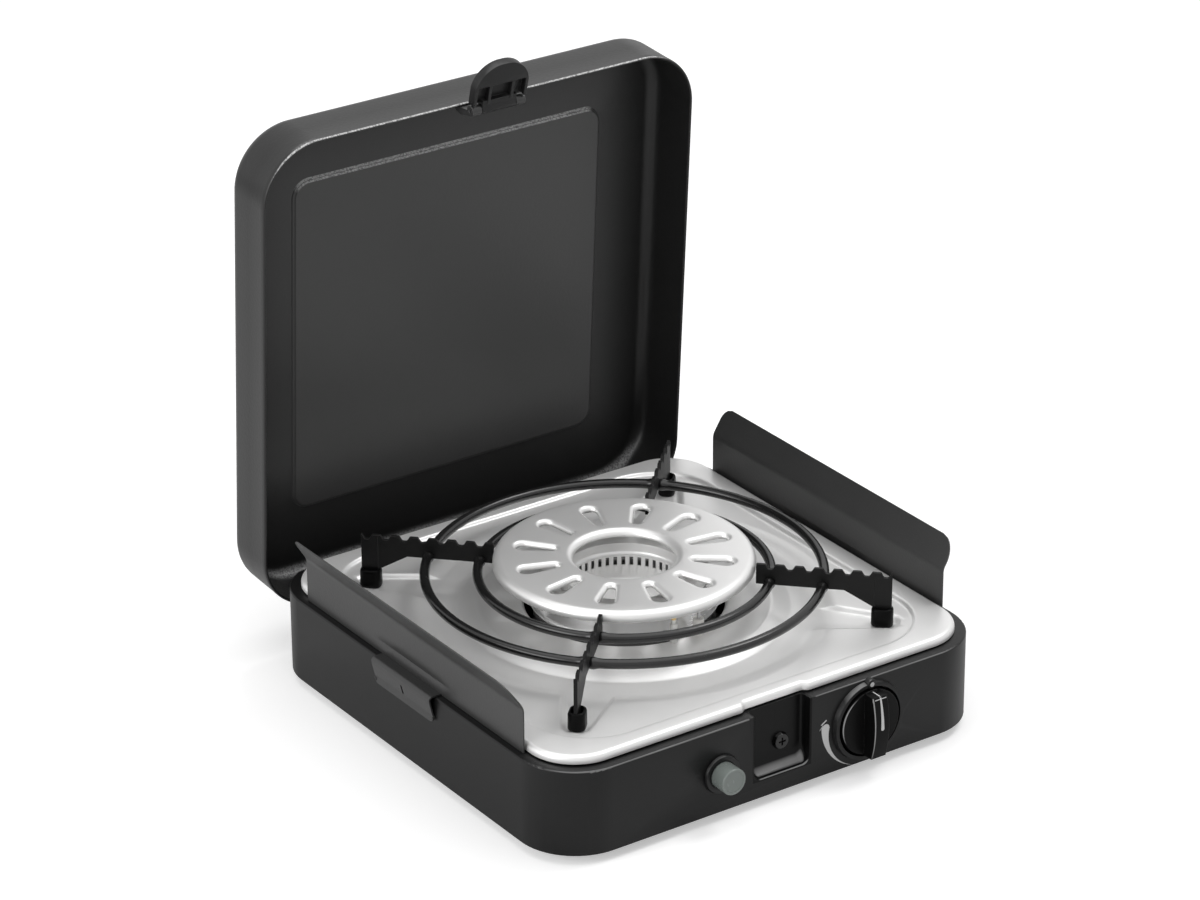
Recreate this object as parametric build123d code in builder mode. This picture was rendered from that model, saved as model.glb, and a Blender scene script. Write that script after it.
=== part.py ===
"""Single-burner camping cooker with a hinged lid, side windshields and a lift-off pan support.

Units are millimetres. +Z is up, +X is to the right seen from the knob side, and the knob side
faces -Y. The part stands on Z = 0 with the lid open. X = 0 is the middle of the casing, and
Y = 0 is the middle of the whole depth, from the knob's grip to the back of the open lid.
"""
import os
from math import cos, pi, radians, sin, sqrt

from build123d import *

os.makedirs("parts", exist_ok=True)

# ---------------------------------------------------------------- driving dimensions
# casing
body_width = 310.0
body_depth = 313.0
body_height = 54.0
body_corner = 37.5
body_wall = 2.5
body_edge = 1.2
rear_edge = 6.6
front_y = -171.2
foot_height = 6.0
foot_radius = 9.0
foot_inset = 35.0
floor_thickness = 1.5
fit_gap = 0.3
seat_gap = 0.1
run_gap = 0.05

# pressed hob
hob_inset = 7.0
hob_rise = 6.0
hob_sheet = 0.8
hob_edge = 4.0
hob_notch = 2.5
pan_side = 22.0
pan_end = 19.5
pan_corner = 41.5
pan_depth = 2.2
dish_inset = 7.0
dish_wall = 12.0
dish_depth = 2.8
seat_mouth = 28.6
seat_tail = 12.0
seat_room = 1.4
seat_chamfer = 3.0
seat_slope = 1.0
collar_outer = 99.0
collar_inner = 88.0
collar_height = 65.6
hob_opening = 60.0
probe_notch = 28.0

# burner
bowl_rim = 57.0
bowl_rim_height = 67.0
bowl_top_radius = 50.0
bowl_top_height = 83.0
bowl_bottom_radius = 44.0
bowl_bottom_height = 34.0
bowl_sheet = 1.0
port_radius = 34.7
port_floor = 58.0
port_low = 70.0
port_high = 78.0
port_width = 2.3
port_count = 45

# turbo plate
plate_radius = 78.5
plate_top = 95.5
plate_sheet = 1.0
plate_roll = 5.0
plate_hole = 30.8
plate_hole_roll = 4.5
slot_count = 12
slot_start = 38.5
slot_end = 68.6
slot_inner_width = 8.0
slot_outer_width = 11.0
slot_draw = 3.0
leg_radius = 2.5
leg_circle = 43.0

# pan support
wire_radius = 3.0
outer_ring_radius = 119.0
inner_ring_radius = 87.5
ring_height = 84.0
arm_top = 95.3
arm_bottom = 82.3
arm_thickness = 2.3
arm_inner = 80.0
arm_leg = 10.8
gusset_back = 28.3
scallop_inset = 3.6
scallop_pitch = 11.5
scallop_depth = 4.2
boot_length = 13.2
boot_width = 10.4
boot_height = 11.6
boot_corner = 4.0
boot_over = 1.1
boot_clearance = 9.5

# lid
lid_side = 1.3
lid_inset = 1.0
lid_depth = 40.0
lid_corner = 38.0
lid_edge = 9.0
lid_sheet = 1.0
lid_gap = 1.3
lid_open_angle = 86.4
hem_height = 3.5
emboss_inset = 42.2
emboss_corner = 12.0
emboss_depth = 2.0

# lid hinge
hinge_inset = 14.832
hinge_drop = 18.0
hinge_side = 49.0
arm_width = 10.0
hub_radius = 5.0
pin_radius = 2.0
slot_gap = 1.0
cheek = 3.0

# latch
latch_x = 1.0
latch_width = 37.6
latch_length = 30.8
latch_lean = 11.0
latch_thickness = 6.0
latch_skin = 2.0
latch_arch = 15.0
latch_reach = 10.2
latch_back = 0.6
barrel_radius = 3.4
latch_pin_radius = 1.2
recess_width = 42.0
recess_depth = 8.0
recess_sill = 16.8
recess_cove = 10.5
catch_x = 4.0
catch_height = 34.2
catch_head = 5.5

# windshields
shield_side = 5.0
shield_sheet = 1.0
shield_front = 41.0
shield_back = 40.5
shield_height = 28.0
shield_bend = 9.0
flare_height = 16.0
flare_reach = 10.0
shield_front_corner = 13.0
shield_rear_corner = 7.0
clip_length = 62.0
clip_drop = 16.0
clip_bend = 1.6
clip_window = 5.0

# knob and gas valve
knob_x = 62.2
knob_z = 33.3
knob_radius = 20.7
knob_face = 4.5
knob_wall = 2.0
knob_back = 4.0
knob_hub = 7.0
grip_width = 10.6
grip_reach = 15.3
bezel_radius = 25.3
bezel_bore = 22.3
bezel_height = 3.2
spindle_radius = 4.0
spindle_flat = 2.6
knob_travel = 3.0
valve_radius = 11.0
valve_front = 13.5
valve_length = 40.0
magnet_radius = 8.0
magnet_length = 18.0
bracket_sheet = 1.5
jet_x = 30.0
jet_z = 42.0
mixer_radius = 9.5
mixer_mouth = 11.0
mixer_wall = 1.2
pipe_x = 82.0
pipe_z = 19.0
pipe_radius = 3.0
pipe_bend = 12.0
inlet_thread = 6.58
inlet_length = 12.0
inlet_shank = 8.0
inlet_collar = 1.0
inlet_nut = 9.0
nut_length = 12.0

# igniter
button_x = -42.4
button_z = 31.0
button_radius = 8.2
button_reach = 12.8
button_travel = 6.0
collar_radius = 12.3
collar_reach = 2.0
igniter_radius = 10.8
igniter_length = 30.0
probe_circle = 63.0
probe_spread = 9.0

# ---------------------------------------------------------------- derived places
deck_top = foot_height + body_height
deck_low = deck_top - body_wall
rear_y = front_y + body_depth
burner_y = front_y + body_depth / 2
hob_top_z = deck_top + hob_rise
pad_z = hob_top_z - pan_depth
dish_z = pad_z - dish_depth
pan_width = body_width - 2 * pan_side
pan_length = body_depth - 2 * pan_end
pan_half = min(pan_width, pan_length) / 2
dish_radius = pan_half - dish_inset
boot_outer = (pan_half - pan_corner) * sqrt(2) + pan_corner - boot_clearance
arm_outer = boot_outer - boot_over
hinge_x = body_width / 2 - hinge_side
hinge_y = rear_y - hinge_inset
hinge_z = deck_top - hinge_drop
lid_width = body_width - 2 * lid_side
lid_length = body_depth - 2 * lid_inset
emboss_size = min(lid_width, lid_length) - 2 * emboss_inset
shield_x = body_width / 2 - shield_side
shield_length = body_depth - shield_front - shield_back
recess_y = front_y + recess_depth


def swing(y, z):
    """Turns a closed-lid point about the hinge axis into its open place."""
    turn = radians(lid_open_angle)
    back = y - hinge_y
    up = z - hinge_z
    return (
        hinge_y + back * cos(turn) + up * sin(turn),
        hinge_z - back * sin(turn) + up * cos(turn),
    )


def rounded(width, depth, corner):
    """A centred rectangle with round corners, for the sketch being built."""
    return RectangleRounded(width, depth, corner)


def level(z, y=burner_y):
    """A horizontal plane through the casing's middle at height z."""
    return Plane((0, y, z))


def face_plane(x, y, z):
    """An upright plane that faces the front, with X to the right and Z up."""
    return Plane((x, y, z), x_dir=(1, 0, 0), z_dir=(0, -1, 0))


def save(part, name):
    """Labels a finished piece and writes its STEP file."""
    part.label = name
    export_step(part, f"parts/{name}.step")


# the lid's own plane: X across, local Y from the hinge edge to the latch edge, local Z out of
# the open side, which points down when the lid is shut
lip_y, lip_z = swing(rear_y - lid_inset, deck_top + lid_gap)
lid_plane = Plane(
    (0, lip_y, lip_z),
    x_dir=(1, 0, 0),
    z_dir=(0, -sin(radians(lid_open_angle)), -cos(radians(lid_open_angle))),
)
hub_u = hinge_inset - lid_inset
hub_w = hinge_drop + lid_gap


def lid_section(x):
    """The plane across the lid at x, with local X along the lid and local Y out of it."""
    place = lid_plane.from_local_coords(Vector(x, 0, 0))
    return Plane(place, x_dir=lid_plane.y_dir, z_dir=(1, 0, 0))


# ---------------------------------------------------------------- casing
post_x = body_width / 2 - body_wall - 5.0
post_rows = (45.0, body_depth - 45.0)
post_radius = 5.5
post_places = [(sx * post_x, front_y + row) for sx in (-1, 1) for row in post_rows]
screw_radius = 2.0
hob_screw_x = pan_width / 2 + 5.8
hob_screw_rows = (88.0, body_depth - 88.0)
hob_screw_places = [(sx * hob_screw_x, front_y + row) for sx in (-1, 1) for row in hob_screw_rows]
foot_places = {
    f"foot_{end}_{side}": (sx * (body_width / 2 - foot_inset), y)
    for side, sx in (("left", -1), ("right", 1))
    for end, y in (("front", front_y + foot_inset), ("rear", rear_y - foot_inset))
}
bracket_screw_x = 28.5
bracket_y = front_y + valve_front - bracket_sheet
slot_width = arm_width + 2 * slot_gap

with BuildPart() as base_body:
    with BuildSketch(level(foot_height)):
        rounded(body_width, body_depth, body_corner)
    extrude(amount=body_height)
    fillet(base_body.faces().sort_by(Axis.Z)[-1].edges(), body_edge)
    # the rear edge is rounder, so that the lid's lip passes it
    with BuildSketch(Plane((-body_width / 2, 0, 0), x_dir=(0, 1, 0), z_dir=(1, 0, 0))):
        with BuildLine():
            Polyline(
                (rear_y - rear_edge, deck_top),
                (rear_y - rear_edge, deck_top + 1),
                (rear_y + 1, deck_top + 1),
                (rear_y + 1, deck_top - rear_edge),
                (rear_y, deck_top - rear_edge),
            )
            RadiusArc((rear_y, deck_top - rear_edge), (rear_y - rear_edge, deck_top), -rear_edge)
        make_face()
    extrude(amount=body_width, mode=Mode.SUBTRACT)
    with BuildSketch(level(foot_height)):
        rounded(body_width - 2 * body_wall, body_depth - 2 * body_wall, body_corner - body_wall)
    extrude(amount=body_height - body_wall, mode=Mode.SUBTRACT)
    with BuildSketch(level(deck_low)):
        rounded(
            pan_width + 2 * (hob_sheet + fit_gap),
            pan_length + 2 * (hob_sheet + fit_gap),
            pan_corner + hob_sheet + fit_gap,
        )
    extrude(amount=body_wall, mode=Mode.SUBTRACT)
    # screw posts for the floor plate
    with BuildSketch(level(foot_height + floor_thickness, 0)):
        with Locations(*post_places):
            Circle(post_radius)
    extrude(amount=body_height - floor_thickness - 1)
    # the block behind the latch recess
    with BuildSketch(face_plane(latch_x, front_y, 0)):
        with Locations((0, (recess_sill - body_wall + deck_top) / 2)):
            Rectangle(recess_width + 2 * body_wall, deck_top - recess_sill + body_wall)
    extrude(amount=-(recess_depth + body_wall))
    with BuildSketch(face_plane(latch_x + catch_x, recess_y + body_wall, catch_height)):
        Circle(catch_head)
    extrude(amount=-6)
    # the latch recess, with its scooped sill
    with BuildSketch(Plane((latch_x - recess_width / 2, 0, 0), x_dir=(0, 1, 0), z_dir=(1, 0, 0))):
        with BuildLine():
            Polyline(
                (front_y, recess_sill),
                (front_y - 1, recess_sill),
                (front_y - 1, deck_top + 1),
                (recess_y, deck_top + 1),
                (recess_y, recess_sill + recess_cove),
            )
            EllipticalCenterArc(
                (front_y, recess_sill + recess_cove), recess_depth, recess_cove, 270, arc_size=90
            )
        make_face()
    extrude(amount=recess_width, mode=Mode.SUBTRACT)
    # knob rim and bore
    with BuildSketch(face_plane(knob_x, front_y, knob_z)):
        Circle(bezel_radius)
    extrude(amount=bezel_height, taper=12)
    with BuildSketch(face_plane(knob_x, front_y - bezel_height, knob_z)):
        Circle(bezel_bore)
    extrude(amount=-(bezel_height + body_wall), mode=Mode.SUBTRACT)
    with BuildSketch(face_plane(knob_x, front_y + body_wall, knob_z)):
        with Locations((-bracket_screw_x, 0), (bracket_screw_x, 0)):
            Circle(4.0)
    extrude(amount=-(bracket_y - front_y - body_wall))
    with BuildSketch(face_plane(knob_x, bracket_y, knob_z)):
        with Locations((-bracket_screw_x, 0), (bracket_screw_x, 0)):
            Circle(screw_radius - 0.5)
    extrude(amount=8, mode=Mode.SUBTRACT)
    # igniter hole
    with BuildSketch(face_plane(button_x, front_y, button_z)):
        Circle(igniter_radius + run_gap)
    extrude(amount=-body_wall, mode=Mode.SUBTRACT)
    # hinge cheeks, their pin bores and the slots for the arms
    for side in (-1, 1):
        for cheek_x in (-slot_width / 2 - cheek, slot_width / 2):
            with BuildSketch(Plane((side * hinge_x + cheek_x, 0, 0), x_dir=(0, 1, 0), z_dir=(1, 0, 0))):
                with BuildLine():
                    Polyline(
                        (hinge_y - hub_radius - 3, deck_low),
                        (rear_y - body_wall, deck_low),
                        (rear_y - body_wall, hinge_z - 10),
                        (hinge_y - hub_radius - 3, hinge_z - 6),
                        close=True,
                    )
                make_face()
            extrude(amount=cheek)
        with BuildSketch(Plane((side * hinge_x, hinge_y, hinge_z), x_dir=(0, 1, 0), z_dir=(1, 0, 0))):
            Circle(pin_radius + run_gap)
        extrude(amount=slot_width, both=True, mode=Mode.SUBTRACT)
        with BuildSketch(level(hinge_z - 15, 0)):
            with Locations((side * hinge_x, hinge_y + 2 + 10)):
                Rectangle(slot_width, 20)
        extrude(amount=40, mode=Mode.SUBTRACT)
    # rear hole for the gas inlet, deck holes and floor screw holes
    with BuildSketch(face_plane(pipe_x, rear_y, pipe_z)):
        Circle(inlet_shank + run_gap)
    extrude(amount=body_wall, mode=Mode.SUBTRACT)
    with BuildSketch(level(deck_low, 0)):
        with Locations(*hob_screw_places):
            Circle(screw_radius + fit_gap)
    extrude(amount=body_wall, mode=Mode.SUBTRACT)
    with BuildSketch(level(foot_height + floor_thickness, 0)):
        with Locations(*post_places):
            Circle(screw_radius)
    extrude(amount=14, mode=Mode.SUBTRACT)
    with BuildSketch(face_plane(latch_x + catch_x, recess_y, catch_height)):
        Circle(screw_radius)
    extrude(amount=-8, mode=Mode.SUBTRACT)
save(base_body.part, "base_body")

with BuildPart() as floor_plate:
    edge_gap = body_wall + fit_gap
    with BuildSketch(level(foot_height)):
        rounded(body_width - 2 * edge_gap, body_depth - 2 * edge_gap, body_corner - edge_gap)
        with Locations(*[(x, y - burner_y) for x, y in post_places]):
            Circle(screw_radius + fit_gap, mode=Mode.SUBTRACT)
        with Locations(*[(x, y - burner_y) for x, y in foot_places.values()]):
            Circle(3.0 + run_gap, mode=Mode.SUBTRACT)
        with PolarLocations(78, 12):
            SlotCenterToCenter(26, 5, mode=Mode.SUBTRACT)
    extrude(amount=floor_thickness)
save(floor_plate.part, "floor_plate")

with BuildPart() as floor_screws:
    with BuildSketch(level(foot_height, 0)):
        with Locations(*post_places):
            Circle(screw_radius - 0.02)
    extrude(amount=12)
    with BuildSketch(level(foot_height, 0)):
        with Locations(*post_places):
            Circle(3.6)
    extrude(amount=-2.4, taper=20)
save(floor_screws.part, "floor_screws")

for foot_name, (foot_x, foot_y) in foot_places.items():
    with BuildPart() as foot:
        with BuildSketch(Plane((foot_x, foot_y, 0), x_dir=(1, 0, 0), z_dir=(0, -1, 0))):
            with BuildLine():
                Polyline(
                    (0, 0),
                    (foot_radius - 1.5, 0),
                    (foot_radius, foot_height),
                    (3.0, foot_height),
                    (3.0, foot_height + floor_thickness),
                    (4.2, foot_height + floor_thickness),
                    (2.2, foot_height + floor_thickness + 4),
                    (0, foot_height + floor_thickness + 4),
                    close=True,
                )
            make_face()
        revolve(axis=Axis((foot_x, foot_y, 0), (0, 0, 1)))
    save(foot.part, foot_name)

for side_name, side in (("left", -1), ("right", 1)):
    with BuildPart() as hinge_pin:
        pin_start = side * hinge_x - slot_width / 2 - cheek
        with BuildSketch(Plane((pin_start, hinge_y, hinge_z), x_dir=(0, 1, 0), z_dir=(1, 0, 0))):
            Circle(pin_radius)
        extrude(amount=slot_width + 2 * cheek + 1)
        with BuildSketch(Plane((pin_start, hinge_y, hinge_z), x_dir=(0, 1, 0), z_dir=(1, 0, 0))):
            Circle(pin_radius + 1.3)
        extrude(amount=-1.5)
    save(hinge_pin.part, f"hinge_pin_{side_name}")

with BuildPart() as catch_screw:
    with BuildSketch(face_plane(latch_x + catch_x, recess_y, catch_height)):
        Circle(catch_head)
    extrude(amount=2.6, taper=18)
    fillet(catch_screw.edges().sort_by(Axis.Y)[0], 0.6)
    with BuildSketch(face_plane(latch_x + catch_x, recess_y, catch_height)):
        Circle(screw_radius - 0.02)
    extrude(amount=-8)
    with BuildSketch(face_plane(latch_x + catch_x, recess_y - 2.6, catch_height)):
        Rectangle(5.0, 1.1)
        Rectangle(1.1, 5.0)
    extrude(amount=-1.4, mode=Mode.SUBTRACT)
save(catch_screw.part, "catch_screw")

# ---------------------------------------------------------------- hob
hob_width = body_width - 2 * hob_inset
hob_depth = body_depth - 2 * hob_inset
hob_corner = body_corner - hob_inset
notch_half = recess_width / 2 + 1.5
upright = Plane((0, burner_y, 0), x_dir=(1, 0, 0), z_dir=(0, -1, 0))
burner_axis = Axis((0, burner_y, 0), (0, 0, 1))


def pan_outline(grow):
    """The pressed pan's outline, grown outwards."""
    rounded(pan_width + 2 * grow, pan_length + 2 * grow, pan_corner + grow)


def boot_seat(turn, grow):
    """The hollow of a boot's seat, a trough from the dish to the boot, grown outwards."""
    with BuildPart(mode=Mode.PRIVATE) as seat:
        for rise in (0, pad_z + 1 - dish_z):
            spread = grow + seat_slope * rise
            tip = boot_outer + seat_room + spread
            tail = seat_tail / 2 + spread
            mouth = seat_mouth / 2 + spread
            seat_plane = Plane(
                (0, burner_y, dish_z - grow + rise),
                x_dir=(cos(turn), sin(turn), 0),
                z_dir=(0, 0, 1),
            )
            with BuildSketch(seat_plane):
                with BuildLine():
                    Polyline(
                        (dish_radius - dish_wall - 2, -mouth),
                        (tip - seat_chamfer, -tail),
                        (tip, seat_chamfer - tail),
                        (tip, tail - seat_chamfer),
                        (tip - seat_chamfer, tail),
                        (dish_radius - dish_wall - 2, mouth),
                        close=True,
                    )
                make_face()
        loft(ruled=True)
    return seat.part


def hob_block(inset):
    """The solid under the hob's upper face, moved in and down by inset.

    It has the rim with its step round the latch recess, the pan, the dish, the collar and the seats.
    """
    edge = hob_edge - inset
    top = hob_top_z - inset
    step_y = front_y + hob_inset + hob_notch + inset
    with BuildPart(mode=Mode.PRIVATE) as block:
        with BuildSketch(level(deck_top)):
            rounded(hob_width - 2 * inset, hob_depth - 2 * inset, hob_corner - inset)
        extrude(amount=hob_rise - inset)
        fillet(block.faces().sort_by(Axis.Z)[-1].edges(), edge)
        start_x = latch_x - notch_half - inset
        with BuildSketch(Plane((start_x, 0, 0), x_dir=(0, 1, 0), z_dir=(1, 0, 0))):
            with BuildLine():
                Polyline(
                    (step_y + edge, top),
                    (step_y + edge, top + 1),
                    (front_y, top + 1),
                    (front_y, deck_top),
                    (step_y, deck_top),
                    (step_y, top - edge),
                )
                RadiusArc((step_y, top - edge), (step_y + edge, top), edge)
            make_face()
        extrude(amount=2 * (notch_half + inset), mode=Mode.SUBTRACT)
        with BuildSketch(level(pad_z - inset)):
            pan_outline(inset)
        extrude(amount=hob_rise, mode=Mode.SUBTRACT)
        with BuildSketch(upright):
            with BuildLine():
                Polyline(
                    (0, dish_z - inset),
                    (dish_radius - dish_wall, dish_z - inset),
                    (dish_radius, pad_z - inset),
                    (dish_radius, hob_top_z + 1),
                    (0, hob_top_z + 1),
                    close=True,
                )
            make_face()
        revolve(axis=burner_axis, mode=Mode.SUBTRACT)
        with BuildSketch(upright):
            with BuildLine():
                Polyline(
                    (hob_opening + inset, deck_top),
                    (hob_opening + inset, collar_height - inset - 1),
                    (hob_opening + inset + 1, collar_height - inset),
                    (collar_inner, collar_height - inset),
                    (collar_outer, dish_z - inset),
                    (collar_outer, deck_top),
                    close=True,
                )
            make_face()
        revolve(axis=burner_axis)
        with BuildSketch(level(deck_top)):
            Circle(hob_opening + inset)
        extrude(amount=hob_rise, mode=Mode.SUBTRACT)
        for angle in (45, 135, 225, 315):
            add(boot_seat(radians(angle), inset), mode=Mode.SUBTRACT)
    return block.part


with BuildPart() as hob_top:
    add(hob_block(0))
    add(hob_block(hob_sheet), mode=Mode.SUBTRACT)
    # the drawn lip of the burner opening ends above the deck
    with BuildSketch(level(deck_top)):
        Circle(hob_opening + hob_sheet)
    extrude(amount=collar_height - 3 - deck_top, mode=Mode.SUBTRACT)
    # the notch that lets the flame probes through
    with BuildSketch(level(dish_z, burner_y - probe_circle)):
        SlotOverall(probe_notch, 12)
    extrude(amount=hob_rise + dish_depth + pan_depth, mode=Mode.SUBTRACT)
save(hob_top.part, "hob_top")

with BuildPart() as hob_nuts:
    with BuildSketch(level(deck_top, 0)):
        with Locations(*hob_screw_places):
            RegularPolygon(3.6, 6)
            Circle(screw_radius, mode=Mode.SUBTRACT)
    extrude(amount=hob_rise - hob_sheet)
save(hob_nuts.part, "hob_nuts")

with BuildPart() as hob_screws:
    with BuildSketch(level(deck_low, 0)):
        with Locations(*hob_screw_places):
            Circle(screw_radius - 0.02)
    extrude(amount=body_wall + 4)
    with BuildSketch(level(deck_low, 0)):
        with Locations(*hob_screw_places):
            Circle(3.6)
    extrude(amount=-2.2)
save(hob_screws.part, "hob_screws")

# ---------------------------------------------------------------- burner

with BuildPart() as burner_bowl:
    with BuildSketch(upright):
        with BuildLine():
            Polyline(
                (0, bowl_bottom_height),
                (bowl_bottom_radius, bowl_bottom_height),
                (bowl_rim - 2, bowl_bottom_height + 12),
                (bowl_rim - 2, bowl_rim_height - 3),
                (bowl_rim, bowl_rim_height - 1),
                (bowl_rim, bowl_rim_height + 1),
                (bowl_top_radius, bowl_top_height),
                (bowl_top_radius - bowl_sheet, bowl_top_height),
                (bowl_rim - bowl_sheet, bowl_rim_height + 0.6),
                (bowl_rim - bowl_sheet, bowl_rim_height - 0.6),
                (bowl_rim - 2 - bowl_sheet, bowl_rim_height - 2.6),
                (bowl_rim - 2 - bowl_sheet, bowl_bottom_height + 12.5),
                (bowl_bottom_radius - 0.5, bowl_bottom_height + bowl_sheet),
                (0, bowl_bottom_height + bowl_sheet),
                close=True,
            )
        make_face()
    revolve(axis=burner_axis)
    with BuildSketch(face_plane(jet_x, burner_y - 30, jet_z)):
        Circle(mixer_radius + run_gap)
    extrude(amount=40, mode=Mode.SUBTRACT)
    with BuildSketch(level(bowl_bottom_height)):
        with Locations((-20, 0), (20, 0)):
            Circle(screw_radius + run_gap)
    extrude(amount=bowl_sheet, mode=Mode.SUBTRACT)
save(burner_bowl.part, "burner_bowl")

with BuildPart() as port_cup:
    with BuildSketch(upright):
        with BuildLine():
            Polyline(
                (0, port_floor),
                (port_radius - 4, port_floor),
                (port_radius, port_floor + 4),
                (port_radius, bowl_top_height),
                (bowl_top_radius + 1, bowl_top_height),
                (bowl_top_radius + 1, bowl_top_height + bowl_sheet),
                (port_radius - bowl_sheet + 0.8, bowl_top_height + bowl_sheet),
                (port_radius - bowl_sheet, bowl_top_height + bowl_sheet - 0.8),
                (port_radius - bowl_sheet, port_floor + 4.4),
                (port_radius - 4.4, port_floor + bowl_sheet),
                (0, port_floor + bowl_sheet),
                close=True,
            )
        make_face()
    revolve(axis=burner_axis)
    with BuildSketch(level(port_low)):
        with PolarLocations(port_radius - bowl_sheet / 2, port_count):
            Rectangle(2 * bowl_sheet, port_width)
    extrude(amount=port_high - port_low, mode=Mode.SUBTRACT)
save(port_cup.part, "port_cup")

plate_under = plate_top - plate_sheet
with BuildPart() as turbo_plate:
    with BuildSketch(upright):
        with BuildLine():
            outer = Polyline(
                (plate_hole + plate_hole_roll, plate_top),
                (plate_radius - plate_roll, plate_top),
            )
            RadiusArc(outer @ 1, (plate_radius, plate_top - plate_roll), plate_roll)
            Polyline(
                (plate_radius, plate_top - plate_roll),
                (plate_radius, plate_top - plate_roll - 1),
                (plate_radius - plate_sheet, plate_top - plate_roll - 1),
                (plate_radius - plate_sheet, plate_top - plate_roll),
            )
            RadiusArc(
                (plate_radius - plate_sheet, plate_top - plate_roll),
                (plate_radius - plate_roll, plate_under),
                -(plate_roll - plate_sheet),
            )
            Line((plate_radius - plate_roll, plate_under), (plate_hole + plate_hole_roll, plate_under))
            RadiusArc(
                (plate_hole + plate_hole_roll, plate_under),
                (plate_hole + plate_sheet, plate_top - plate_hole_roll),
                -(plate_hole_roll - plate_sheet),
            )
            Line(
                (plate_hole + plate_sheet, plate_top - plate_hole_roll),
                (plate_hole, plate_top - plate_hole_roll),
            )
            RadiusArc(
                (plate_hole, plate_top - plate_hole_roll),
                (plate_hole + plate_hole_roll, plate_top),
                plate_hole_roll,
            )
        make_face()
    revolve(axis=burner_axis)

    def slot_outline(shrink, start, end):
        """One radial slot of the plate, wider at its outer end."""
        half_in = slot_inner_width / 2 - shrink
        half_out = slot_outer_width / 2 - shrink
        with BuildLine() as rim:
            Line((start + half_in, half_in), (end - half_out, half_out))
            ThreePointArc((end - half_out, half_out), (end, 0), (end - half_out, -half_out))
            Line((end - half_out, -half_out), (start + half_in, -half_in))
            ThreePointArc((start + half_in, -half_in), (start, 0), (start + half_in, half_in))
        make_face(rim.edges())

    with BuildPart(mode=Mode.PRIVATE) as drawn_slot:
        with BuildSketch(Plane.XY.offset(plate_top)):
            slot_outline(0, slot_start, slot_end)
        with BuildSketch(Plane.XY.offset(plate_top - slot_draw)):
            slot_outline(1.6, slot_start + 1.6, slot_end - 1.6)
        loft()
    with BuildPart(mode=Mode.PRIVATE) as slot_wall:
        with BuildSketch(Plane.XY.offset(plate_top)):
            slot_outline(-0.8, slot_start - 0.8, slot_end + 0.8)
        with BuildSketch(Plane.XY.offset(plate_top - slot_draw)):
            slot_outline(0.8, slot_start + 0.8, slot_end - 0.8)
        loft()
    with Locations(level(0)):
        with PolarLocations(0, slot_count, start_angle=180 / slot_count):
            add(slot_wall.part)
    with Locations(level(0)):
        with PolarLocations(0, slot_count, start_angle=180 / slot_count):
            add(drawn_slot.part, mode=Mode.SUBTRACT)
    with BuildSketch(level(bowl_top_height + bowl_sheet)):
        with PolarLocations(leg_circle, 4):
            Circle(leg_radius)
    extrude(amount=plate_under - bowl_top_height - bowl_sheet + 0.2)
save(turbo_plate.part, "turbo_plate")

# the strap that carries the burner
strap_half = 58.0
with BuildPart() as burner_strap:
    floor_z = foot_height + floor_thickness
    with BuildSketch(upright):
        with BuildLine():
            Polyline(
                (-strap_half, floor_z),
                (-strap_half, floor_z + bracket_sheet),
                (-strap_half + 14, floor_z + bracket_sheet),
                (-strap_half + 26, bowl_bottom_height),
                (strap_half - 26, bowl_bottom_height),
                (strap_half - 14, floor_z + bracket_sheet),
                (strap_half, floor_z + bracket_sheet),
                (strap_half, floor_z),
                (strap_half - 15, floor_z),
                (strap_half - 27, bowl_bottom_height - bracket_sheet),
                (-strap_half + 27, bowl_bottom_height - bracket_sheet),
                (-strap_half + 15, floor_z),
                close=True,
            )
        make_face()
    extrude(amount=16, both=True)
    with BuildSketch(level(floor_z)):
        with Locations((-20, 0), (20, 0)):
            Circle(screw_radius + run_gap)
    extrude(amount=40, mode=Mode.SUBTRACT)
save(burner_strap.part, "burner_strap")

with BuildPart() as burner_screws:
    with BuildSketch(level(bowl_bottom_height - bracket_sheet)):
        with Locations((-20, 0), (20, 0)):
            Circle(screw_radius)
    extrude(amount=8)
    with BuildSketch(level(bowl_bottom_height - bracket_sheet)):
        with Locations((-20, 0), (20, 0)):
            Circle(3.6)
    extrude(amount=-2.2)
save(burner_screws.part, "burner_screws")

mixer_front = front_y + 61.0
mixer_end = burner_y - 44.0
with BuildPart() as mixing_tube:
    mixer_plane = Plane((jet_x, 0, jet_z), x_dir=(0, 1, 0), z_dir=(1, 0, 0))
    with BuildSketch(mixer_plane):
        with BuildLine():
            Polyline(
                (mixer_front, mixer_mouth),
                (mixer_front + 12, mixer_mouth),
                (mixer_front + 20, mixer_radius),
                (mixer_end, mixer_radius),
                (mixer_end, mixer_radius - mixer_wall),
                (mixer_front + 20, mixer_radius - mixer_wall - 2),
                (mixer_front + 12, mixer_mouth - mixer_wall),
                (mixer_front, mixer_mouth - mixer_wall),
                close=True,
            )
        make_face()
    revolve(axis=Axis((jet_x, 0, jet_z), (0, 1, 0)))
    with BuildSketch(level(jet_z - mixer_mouth, mixer_front + 6)):
        with Locations((jet_x, 0)):
            Rectangle(9, 7)
    extrude(amount=2 * mixer_mouth, mode=Mode.SUBTRACT)
save(mixing_tube.part, "mixing_tube")

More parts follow.
